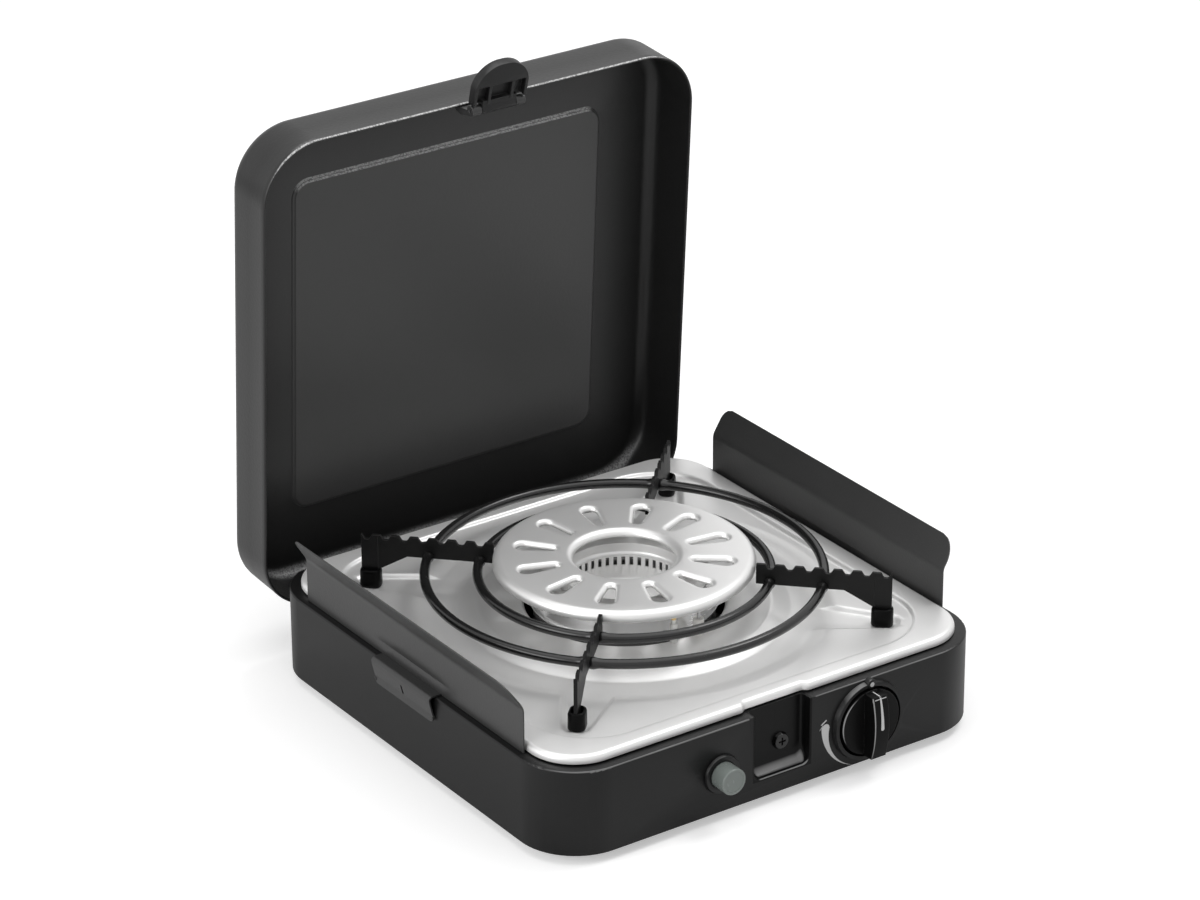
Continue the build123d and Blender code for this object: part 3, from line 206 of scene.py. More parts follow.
# ------------------------------------------------------------------ finishes
@dataclass(frozen=True)
class Plastic:
    """Moulded plastic with a fine spark-eroded grain, and a painted highlight where edges face the light."""

    name: str
    slot: str
    level: float = 0.005
    tint: tuple[float, float, float] = (1.0, 1.0, 1.03)
    rough: float = 0.44
    grain: float = 0.00003
    specular: float = 0.36
    # Painted highlight: its strength, its grey, the direction of the light it stands for, and the cosines
    # where it starts and is full.
    rub: float = 0.3
    highlight_level: float = 0.14
    highlight_way: tuple[float, float, float] = (-0.25, -0.62, 0.74)
    highlight_range: tuple[float, float] = (0.86, 0.96)
    cloud_scale: float = 14.0
    grain_scale: float = 1900.0

    def build(self) -> bpy.types.Material:
        """Builds the material: a slow cloud, and a painted highlight in pale grey where the surface faces one
        fixed direction, towards the light.

        Returns:
            The material.
        """
        tree = Tree(self.name)
        here = tree.place()
        cloud = tree.noise(here, self.cloud_scale, 4.0)
        fine = tree.noise(here, self.grain_scale, 2.0)
        colour = tree.blend(cloud, grey(self.level * 0.8, self.tint), grey(self.level * 1.25, self.tint))
        # Painted highlight: where the surface faces highlight_way, broken up by the cloud, the colour turns
        # to grey highlight_level.
        edge = tree.slanted(self.highlight_way, *self.highlight_range) * cloud
        return tree.surface(
            Base_Color=tree.blend((edge * (self.rub * 2.0)).clamp(), colour, grey(self.highlight_level)),
            Roughness=cloud * 0.1 + fine * 0.06 + (self.rough - 0.08),
            Specular_IOR_Level=self.specular,
            Normal=tree.bump(fine, self.grain),
        )


@dataclass(frozen=True)
class Paint:
    """Baked paint on sheet steel: slight orange peel, satin gloss and pale dust in its grain, with painted
    light and a painted highlight where mesh attributes mark them.
    """

    name: str
    slot: str
    level: float = 0.018
    rough: float = 0.4
    peel: float = 0.00007
    peel_scale: float = 520.0
    specular: float = 0.5
    # Painted highlight: its strength and its grey, where the attribute "worn" marks edges that face the
    # light.
    rub: float = 0.0
    highlight_level: float = 0.75
    # Painted light: the grey that the colour turns to where the attribute "coat" marks the lid's inside
    # panel.
    painted_light_level: float = 0.0
    cloud_scale: float = 9.0
    dust_scale: float = 2600.0
    dust_range: tuple[float, float] = (0.66, 0.74)
    grit_scale: float = 900.0

    def build(self) -> bpy.types.Material:
        """Builds the material.

        The attribute "worn" says where a highlight is painted in a paler grey. Where the attribute
        "coat" says so, the colour is painted lighter, as painted light.

        Returns:
            The material.
        """
        tree = Tree(self.name)
        here = tree.place()
        cloud = tree.noise(here, self.cloud_scale, 4.0)
        peel = tree.noise(here, self.peel_scale, 2.0, 0.45)
        specks = tree.ramp(tree.noise(here, self.dust_scale, 1.0), *self.dust_range)
        base = tree.blend(cloud, grey(self.level * 0.8), grey(self.level * 1.2))
        # Painted light: the colour is lifted to painted_light_level where the attribute "coat" says.
        if self.painted_light_level:
            base = tree.blend(tree.painted("coat"), base, grey(self.painted_light_level))
        colour = tree.blend(specks * 0.3, base, grey(self.level * 2.6))
        # Painted highlight: a paler grey where the attribute "worn" marks edges that face the light, broken
        # up by grit.
        if self.rub:
            grit = tree.ramp(tree.noise(here, self.grit_scale, 2.0), 0.35, 0.6, 0.25)
            colour = tree.blend(tree.painted("worn") * grit * self.rub, colour, grey(self.highlight_level))
        return tree.surface(
            Base_Color=colour,
            Roughness=cloud * 0.08 + peel * 0.08 + (self.rough - 0.08),
            Specular_IOR_Level=self.specular,
            Normal=tree.bump(peel, self.peel),
        )


@dataclass(frozen=True)
class Steel:
    """Bare steel, finely brushed, with faint stains; part of its light comes back scattered."""

    name: str
    slot: str
    level: float = 0.8
    metal: float = 0.68
    rough: float = 0.4
    brush: tuple[float, float, float] = (6.0, 420.0, 420.0)
    depth: float = 0.000006
    tint: tuple[float, float, float] = (1.0, 0.997, 0.99)
    cloud_scale: float = 11.0
    spot_scale: float = 130.0

    def build(self) -> bpy.types.Material:
        """Builds the material: noise stretched by brush makes the streaks.

        Returns:
            The material.
        """
        tree = Tree(self.name)
        here = tree.place()
        streaks = tree.noise(tree.place(self.brush), 3.0, 5.0, 0.65)
        cloud = tree.noise(here, self.cloud_scale, 5.0, 0.6)
        spots = tree.noise(here, self.spot_scale, 3.0, 0.6)
        low, high = (grey(self.level * share, self.tint) for share in (0.96, 1.03))
        return tree.surface(
            Base_Color=tree.blend(cloud, low, high),
            Metallic=self.metal,
            Roughness=streaks * 0.06 + cloud * 0.08 + spots * 0.04 + (self.rough - 0.09),
            Normal=tree.bump(streaks, self.depth),
        )


@dataclass(frozen=True)
class Enamel:
    """Glossy heat-proof black coating with small runs and pores."""

    name: str
    slot: str
    level: float = 0.006
    rough: float = 0.24
    specular: float = 0.55
    depth: float = 0.00007
    run_scale: float = 160.0
    pore_scale: float = 1500.0

    def build(self) -> bpy.types.Material:
        """Builds the material: runs and pores, 7 to 3, make its relief.

        Returns:
            The material.
        """
        tree = Tree(self.name)
        here = tree.place()
        runs = tree.noise(here, self.run_scale, 3.0)
        pores = tree.noise(here, self.pore_scale, 2.0)
        return tree.surface(
            Base_Color=tree.blend(runs, grey(self.level * 0.7), grey(self.level * 1.5)),
            Roughness=runs * 0.14 + pores * 0.06 + (self.rough - 0.1),
            Specular_IOR_Level=self.specular,
            Normal=tree.bump(runs * 0.7 + pores * 0.3, self.depth),
        )


@dataclass(frozen=True)
class Plain:
    """A small part's finish: a cloudy colour, a metal share and a fine grain."""

    name: str
    slot: str
    colour: tuple[float, float, float]
    rough: float = 0.4
    metal: float = 0.0
    specular: float = 0.5
    grain: float = 0.00002
    grain_scale: float = 900.0
    cloud_scale: float = 60.0

    def build(self) -> bpy.types.Material:
        """Builds the material: the cloud runs from 0.86 to 1.08 of the colour.

        Returns:
            The material.
        """
        tree = Tree(self.name)
        here = tree.place()
        cloud = tree.noise(here, self.cloud_scale, 4.0)
        fine = tree.noise(here, self.grain_scale, 2.0)
        return tree.surface(
            Base_Color=tree.blend(cloud, grey(0.86, self.colour), grey(1.08, self.colour)),
            Metallic=self.metal,
            Roughness=cloud * 0.12 + fine * 0.06 + (self.rough - 0.09),
            Specular_IOR_Level=self.specular,
            Normal=tree.bump(fine, self.grain),
        )


@dataclass(frozen=True)
class Tipped:
    """Satin steel whose last few millimetres at the top are of another metal."""

    name: str
    slot: str
    colour: tuple[float, float, float]
    tip: tuple[float, float, float]
    start: float = 0.0802
    run: float = 0.0005
    cloud_scale: float = 300.0

    def build(self) -> bpy.types.Material:
        """Builds the material: the colours change at a height, over half a millimetre.

        Returns:
            The material.
        """
        tree = Tree(self.name)
        here = tree.place()
        height = tree.node("ShaderNodeSeparateXYZ", {}, here, out="Z")
        share = ((height - self.start) * (1.0 / self.run)).clamp()
        cloud = tree.noise(here, self.cloud_scale, 3.0)
        return tree.surface(
            Base_Color=tree.blend(share, grey(1.0, self.colour), grey(1.0, self.tip)),
            Metallic=0.75,
            Roughness=cloud * 0.2 + 0.22,
            Normal=tree.bump(cloud, 0.00003),
        )


class Finish(Enum):
    """The finishes of the cooker's pieces."""

    # The casing plastic gets a painted highlight on its edges that face up and forward, towards the light.
    CASING = Plastic(
        "casing plastic", "casing_plastic", level=0.0045, rough=0.38, specular=0.31, rub=0.5, highlight_level=0.3
    )
    # A darker, less glossy copy of the casing plastic, as painted shade inside the recess; it also gets a
    # painted highlight on its cove.
    RECESS = Plastic(
        "shaded recess plastic", "casing_plastic", level=0.003, rough=0.3, specular=0.16, rub=0.8, highlight_level=0.3
    )
    # The knob's painted highlight lies on edges that face left and forward, towards the light.
    KNOB = Plastic(
        "knob plastic", "knob_plastic", level=0.002, rough=0.4, grain=0.00002, specular=0.12,
        rub=0.9, highlight_level=0.3, highlight_way=(-0.66, -0.72, 0.2),
    )
    LATCH = Plastic("latch plastic", "latch_plastic", level=0.008, rough=0.42)
    BEZEL = Plastic("igniter collar plastic", "igniter_plastic", level=0.005, rough=0.36, specular=0.35)
    # The lid paint gets a painted highlight on its hem and pressed square, and painted light that makes its
    # inside panel lighter.
    LID = Paint("lid paint", "lid_paint", level=0.012, rough=0.36, specular=0.42, rub=0.9, painted_light_level=0.062)
    SHIELD = Paint("windshield paint", "lid_paint", level=0.03, rough=0.36, peel_scale=700.0, specular=0.58)
    FLOOR_SHEET = Paint("floor sheet paint", "dark_steel", level=0.03, rough=0.5)
    HOB = Steel("hob steel", "hob_steel", level=0.86, metal=0.52)
    PLATE = Steel(
        "plate steel", "plate_steel", level=0.85, metal=0.66, rough=0.4, brush=(160.0, 160.0, 160.0)
    )
    CUP = Steel(
        "port cup steel", "plate_steel", level=0.84, metal=0.55, rough=0.36, brush=(80.0, 80.0, 900.0)
    )
    BOWL = Steel(
        "burner steel", "burner_chrome", level=0.88, metal=0.72, rough=0.26, brush=(80.0, 80.0, 900.0)
    )
    SHEET = Steel("sheet steel", "sheet_steel", level=0.55, metal=1.0, rough=0.38)
    WIRE = Enamel("pan support enamel", "black_wire")
    # A darker, less glossy copy of the pan support enamel, as painted shade on the arms.
    ARM = Enamel("shaded arm enamel", "black_wire", level=0.003, rough=0.46, specular=0.22)
    BOOT = Enamel("boot rubber", "rubber", level=0.0015, rough=0.38, specular=0.08)
    RUBBER = Plain("foot rubber", "rubber", (0.012, 0.012, 0.013), rough=0.62, grain=0.00004)
    SCREW = Plain("zinc plate", "screw_steel", (0.55, 0.55, 0.56), rough=0.3, metal=1.0)
    DARK_SCREW = Plain("blackened screw", "screw_steel", (0.003, 0.003, 0.003), rough=0.16)
    PROBE = Tipped("probe steel", "brass", (0.72, 0.72, 0.7), (0.75, 0.55, 0.24))
    ALLOY = Plain("cast alloy", "cast_alloy", (0.6, 0.6, 0.6), rough=0.5, metal=1.0, grain=0.00006)
    BRASS = Plain("brass", "brass", (0.75, 0.55, 0.24), rough=0.32, metal=1.0)
    CERAMIC = Plain("ceramic", "ceramic", (0.86, 0.85, 0.81), rough=0.25)
    BUTTON = Plain("button plastic", "button_plastic", (0.2, 0.225, 0.212), rough=0.26, grain_scale=500.0)
    PRINT = Plain("white print", "knob_plastic", (0.62, 0.62, 0.62), rough=0.5)

    def material(self) -> bpy.types.Material:
        """The finish's material, made on first use."""
        kept = bpy.data.materials.get(self.value.name)
        return kept or self.value.build()


# ------------------------------------------------------------------ mesh tools
Point = Sequence[float]
# Points closer than MERGE metres are one point, and a copied node's faces are joined up to FLAT_ANGLE.
MERGE = 2e-6
FLAT_ANGLE = math.radians(0.4)
# A highlight is painted where a surface faces HIGHLIGHT_WAY, towards the light: from a cosine of TOUCH_START,
# in full TOUCH_RUN on.
HIGHLIGHT_WAY = (-0.2, -0.64, 0.74)
TOUCH_START = 0.8
TOUCH_RUN = 0.12


def arc(centre: Point, radius: float, start: float, end: float, count: int) -> list[Point]:
    """Points on a circle from one angle to another, in degrees."""
    turns = np.radians(np.linspace(start, end, count))
    return (np.array(centre) + radius * np.column_stack([np.cos(turns), np.sin(turns)])).tolist()


def heading(angle: float) -> tuple[Array, Array]:
    """The direction at an angle in degrees, and the one to its left."""
    turn = math.radians(angle)
    return np.array([math.cos(turn), math.sin(turn)]), np.array([-math.sin(turn), math.cos(turn)])


def rounded_loop(
    half_x: float, half_y: float, corner: float, turns: int, sides: Sequence[Array]
) -> Array:
    """A rectangle with round corners as a closed ring of points.

    Each corner is a quarter circle cut into turns steps, so rings of different sizes have matching
    points.

    Args:
        half_x: Half the width.
        half_y: Half the depth.
        corner: The corner's radius.
        turns: Steps in a corner.
        sides: The places of the points along the rear, left, front and right side, from 0 to 1.

    Returns:
        An array of shape (points, 2), counter-clockwise from the right side.
    """
    sweep = np.radians(np.linspace(0.0, 90.0, turns + 1))
    centres = np.array([(1, 1), (-1, 1), (-1, -1), (1, -1)]) * (half_x - corner, half_y - corner)
    parts = []
    for number, (centre, steps) in enumerate(zip(centres, sides)):
        angles = sweep + number * math.pi / 2
        curve = centre + corner * np.stack([np.cos(angles), np.sin(angles)], -1)
        after = centres[(number + 1) % 4] + curve[-1] - centre
        parts += [curve, curve[-1] + (after - curve[-1]) * steps[:, None]]
    return np.concatenate(parts)


def even_steps(runs: int) -> Array:
    """Places that cut a side into runs equal steps, without its ends."""
    return np.linspace(0.0, 1.0, runs + 1)[1:-1]


def quads(rows: int, columns: int, wrap_rows: bool = False, wrap_columns: bool = True) -> Array:
    """Faces of a grid of points.

    Args:
        rows: Rows of points.
        columns: Points in a row.
        wrap_rows: Joins the last row to the first.
        wrap_columns: Joins the last point of each row to its first.

    Returns:
        An array of shape (faces, 4) with the corner numbers.
    """
    r = np.arange(rows if wrap_rows else rows - 1)
    c = np.arange(columns if wrap_columns else columns - 1)
    rr, cc = np.meshgrid(r, c, indexing="ij")
    nr, nc = (rr + 1) % rows, (cc + 1) % columns
    corners = [rr * columns + cc, rr * columns + nc, nr * columns + nc, nr * columns + cc]
    return np.stack(corners, -1).reshape(-1, 4)


def revolve(profile: Sequence[Point], centre: Point, steps: int) -> Array:
    """Turns a profile about an upright axis: x = r cos a, y = r sin a, z = height.

    Args:
        profile: Radius and height of each point.
        centre: The axis's x and y.
        steps: Steps of the turn.

    Returns:
        An array of shape (profile points, steps, 3).
    """
    points = np.array(profile, float)
    turn = np.linspace(0.0, 2 * math.pi, steps, endpoint=False)
    x = centre[0] + points[:, :1] * np.cos(turn)
    y = centre[1] + points[:, :1] * np.sin(turn)
    return np.stack([x, y, np.broadcast_to(points[:, 1:], x.shape)], -1)


def fan(start: int, count: int, centre: int) -> Array:
    """Triangles from a ring of points to one centre point."""
    ring = np.arange(count)
    return np.column_stack([start + ring, start + (ring + 1) % count, np.full(count, centre)])


def loft(rings: Sequence[Array], cap_start: bool = False, cap_end: bool = False) -> tuple[Array, list]:
    """Joins rings of matching points into one surface.

    Args:
        rings: Arrays of shape (points, 3), in order.
        cap_start: Closes the first ring with a fan.
        cap_end: Closes the last ring with a fan.

    Returns:
        The points and the faces.
    """
    points = np.concatenate(rings)
    columns = len(rings[0])
    faces = quads(len(rings), columns).tolist()
    if cap_start:
        points = np.concatenate([points, rings[0].mean(0)[None]])
        faces += fan(0, columns, len(points) - 1)[:, ::-1].tolist()
    if cap_end:
        points = np.concatenate([points, rings[-1].mean(0)[None]])
        faces += fan((len(rings) - 1) * columns, columns, len(points) - 1).tolist()
    return points, faces


@dataclass
class Piece:
    """One mesh piece of the cooker and how it is fixed to the frame."""

    name: str
    body: str
    finish: Finish
    replaces: tuple[str, ...] = ()
    sharp: float = 35.0

    def build(
        self, points: Array, faces: Iterable[Sequence[int]], flip: bool = False, thick: float = 0.0,
        bevel: float = 0.0, coat: Array | None = None, highlight_share: Array | None = None,
    ) -> bpy.types.Object:
        """Makes the mesh, finishes it and hangs it on its body.

        Args:
            points: Points in millimetres, in any shape that ends in 3.
            faces: Corner numbers of each face.
            flip: Turns every face round.
            thick: Sheet thickness added behind the faces, in millimetres.
            bevel: Width of rounded edges, in millimetres.
            coat: How much lighter the colour is painted at each point, 0 to 1, as painted light; kept as the
                attribute "coat".
            highlight_share: How much painted highlight each point may get. It is kept as the attribute "worn"
                where the surface faces up and forward, towards the light, when the piece is open.

        Returns:
            The finished object.
        """
        mesh = bpy.data.meshes.new(self.name)
        mesh.from_pydata((points.reshape(-1, 3) * MM).tolist(), [], [list(map(int, f)) for f in faces])
        # Painted light: coat says how much lighter the colour is painted.
        if coat is not None:
            mesh.attributes.new("coat", "FLOAT", "POINT").data.foreach_set("value", coat)
        # Painted highlight: where the surface faces HIGHLIGHT_WAY, towards the light, the share wear goes
        # into the attribute "worn".
        if highlight_share is not None:
            normals = np.empty(len(mesh.vertices) * 3)
            mesh.vertex_normals.foreach_get("vector", normals)
            facing = normals.reshape(-1, 3) @ np.array(HIGHLIGHT_WAY)
            worn = np.clip((facing - TOUCH_START) / TOUCH_RUN, 0.0, 1.0) * highlight_share
            mesh.attributes.new("worn", "FLOAT", "POINT").data.foreach_set("value", worn)
        work = self.merged(mesh)
        if flip:
            bmesh.ops.reverse_faces(work, faces=work.faces)
        return self.fix(mesh, work, thick, bevel)

    def copy_node(self, bevel: float) -> bpy.types.Object:
        """Makes a merged copy of the CAD node that the piece replaces.

        Args:
            bevel: Width of its rounded edges, in millimetres.

        Returns:
            The finished object, with its flat faces joined.
        """
        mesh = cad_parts[self.replaces[0]].data.copy()
        mesh.name = self.name
        work = self.merged(mesh)
        bmesh.ops.dissolve_limit(work, angle_limit=FLAT_ANGLE, verts=work.verts, edges=work.edges)
        return self.fix(mesh, work, 0.0, bevel)

    @staticmethod
    def merged(mesh: bpy.types.Mesh) -> bmesh.types.BMesh:
        """A working copy of a mesh with its doubles merged.

        Args:
            mesh: The mesh to copy.

        Returns:
            The copy, still to be written back and freed.
        """
        work = bmesh.new()
        work.from_mesh(mesh)
        bmesh.ops.remove_doubles(work, verts=work.verts, dist=MERGE)
        return work

    def fix(
        self, mesh: bpy.types.Mesh, work: bmesh.types.BMesh, thick: float, bevel: float
    ) -> bpy.types.Object:
        """Shades a mesh, adds its modifiers and rides it on its body.

        Args:
            mesh: The piece's mesh.
            work: Its working copy, which is written to it.
            thick: Sheet thickness in millimetres, or 0.
            bevel: Width of rounded edges in millimetres, or 0.

        Returns:
            The finished object.
        """
        work.to_mesh(mesh)
        work.free()
        mesh.materials.clear()
        mesh.materials.append(self.finish.material())
        mesh.shade_smooth()
        if not bevel:
            mesh.set_sharp_from_angle(angle=math.radians(self.sharp))
        piece = bpy.data.objects.new(self.name, mesh)
        bpy.context.scene.collection.objects.link(piece)
        if thick:
            wall = piece.modifiers.new("wall", "SOLIDIFY")
            wall.thickness = thick * MM
            wall.offset = -1.0
            wall.use_even_offset = True
        if bevel:
            round_edges(piece, bevel, 3, self.sharp)
        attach(piece, self.body)
        if self.replaces:
            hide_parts(*self.replaces)
        log.info("%s on %s: %d faces", self.name, self.body, len(mesh.polygons))
        return piece


def round_edges(piece: bpy.types.Object, width: float, segments: int, angle: float) -> None:
    """Rounds a piece's edges.

    Args:
        piece: The piece.
        width: The rounding's width in millimetres.
        segments: Its steps.
        angle: Edges sharper than this many degrees are rounded.
    """
    edge = piece.modifiers.new("edge", "BEVEL")
    edge.width = width * MM
    edge.segments = segments
    edge.limit_method = "ANGLE"
    edge.angle_limit = math.radians(angle)
    edge.harden_normals = True


def dress(node: str, finish: Finish) -> None:
    """Gives a CAD node that stays in view its finish.

    Args:
        node: The node's name.
        finish: Its finish.
    """
    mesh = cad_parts[node].data
    mesh.materials.clear()
    mesh.materials.append(finish.material())


# ------------------------------------------------------------------ casing
@dataclass
class Casing:
    """The black moulded casing with its floor sheet, feet, hinge pins and catch screw.

    The latch recess opens in a round mouth. Its sides run in by side_run and its sill rises by scoop
    towards the rear wall, which a small patch of half width hub closes. The lining's hidden outside
    is wider than the recess by lining and reaches back to lining_back.
    """

    edge: float = 0.35
    recess_mid: float = 1.0
    recess_half: float = 21.0
    recess_sill: float = 16.8
    recess_depth: float = 7.94
    recess_corner: float = 5.6
    mouth: float = 1.2
    side_run: float = 2.9
    scoop: float = 9.3
    hub: float = 0.01
    hub_rise: float = 14.0
    lining: float = 0.4
    lining_back: float = 8.3

    def recess_outline(self, half: float, sill: float, corner: float) -> Array:
        """The recess in a plane behind the front wall: down one side, round the sill and up the other.

        Args:
            half: Half its width.
            sill: Its sill's height.
            corner: The radius of its two lower corners.

        Returns:
            The outline's points as x and z.
        """
        low = sill + corner
        turn = np.radians(np.linspace(0, -90, 12))
        bend = np.column_stack([half - corner + corner * np.cos(turn), low + corner * np.sin(turn)])
        side = np.column_stack([np.full(8, half), np.linspace(DECK - 0.1, low, 9)[:-1]])
        right = np.concatenate([side, bend])
        left = right[::-1] * (-1.0, 1.0)
        return np.concatenate([right, left]) + (self.recess_mid, 0.0)

    def recess_lining(self) -> None:
        """The moulded recess with its round edges, as a closed lining in the casing's own recess.

        A front edge, mouth wide and round, leads into the walls. Towards the back the sides follow a
        fourth-power curve into the rear wall, and the sill follows a quarter ellipse, so that it is
        scooped. Each cut gives the inset of the sides, the rise of the sill and the depth.
        """
        round_edge = [(0.0, -0.01), (0.36, 0.04), (0.72, 0.2), (1.0, 0.48), (1.16, 0.84)]
        cuts = [(-0.3, -0.3, 0.03)] + [(x, x, d) for x, d in round_edge]
        turn = np.radians(np.linspace(0, 90, 15))
        sides = self.mouth + self.side_run * (1 - (1 - np.sin(turn) ** 4) ** 0.25)
        sills = self.mouth + self.scoop * (1 - np.cos(turn))
        cuts += list(zip(sides, sills, self.mouth + (self.recess_depth - self.mouth) * np.sin(turn)))
        hub, wall, back = self.recess_half - self.hub, -self.lining, self.lining_back
        cuts += [(hub, self.hub_rise, self.recess_depth), (hub, self.hub_rise, back)]
        cuts += [(wall, wall, back), (wall, wall, self.lining)]
        rows = []
        for step, (side, sill, depth) in enumerate(cuts):
            corner = max(self.recess_corner - side * 0.4, 0.005) if step else 0.3
            flat = self.recess_outline(self.recess_half - side, self.recess_sill + sill, corner)
            rows.append(np.column_stack([flat[:, 0], np.full(len(flat), FRONT_Y + depth), flat[:, 1]]))
        grid = np.stack(rows, 1)
        count, columns = grid.shape[:2]
        ends = range(columns)[::-1], range((count - 1) * columns, count * columns)
        faces = [*quads(count, columns), *ends]
        Piece("latch_recess", "casing", Finish.RECESS, sharp=50).build(grid, faces)

    def build(self) -> None:
        """Dresses every fixed piece of the casing."""
        self.recess_lining()
        Piece("casing_shell", "casing", Finish.CASING, ("base_body",)).copy_node(self.edge)
        Piece("floor_sheet", "casing", Finish.FLOOR_SHEET, ("floor_plate",)).copy_node(0.2)
        Piece("catch_screw_head", "casing", Finish.DARK_SCREW, ("catch_screw",)).copy_node(0.15)
        Piece("igniter_collar", "casing", Finish.BEZEL, ("igniter_body",)).copy_node(0.3)
        for end in ("front", "rear"):
            for side in ("left", "right"):
                name = f"foot_{end}_{side}"
                Piece(f"rubber_{name}", "casing", Finish.RUBBER, (name,)).copy_node(0.4)
        plain = {
            Finish.SCREW: ("floor_screws", "hinge_pin_left", "hinge_pin_right", "hob_nuts", "hob_screws",
                           "burner_screws", "bracket_screws", "spark_electrode"),
            Finish.SHEET: ("burner_strap", "valve_bracket", "probe_bracket"),
            Finish.ALLOY: ("mixing_tube", "valve_body", "gas_pipe"),
            Finish.BRASS: ("magnet_unit", "gas_jet", "gas_inlet", "valve_plunger", "valve_spindle"),
            Finish.PROBE: ("thermocouple",),
            Finish.CERAMIC: ("spark_insulator",),
            Finish.BEZEL: ("igniter_nut",),
        }
        for finish, nodes in plain.items():
            for node in nodes:
                dress(node, finish)


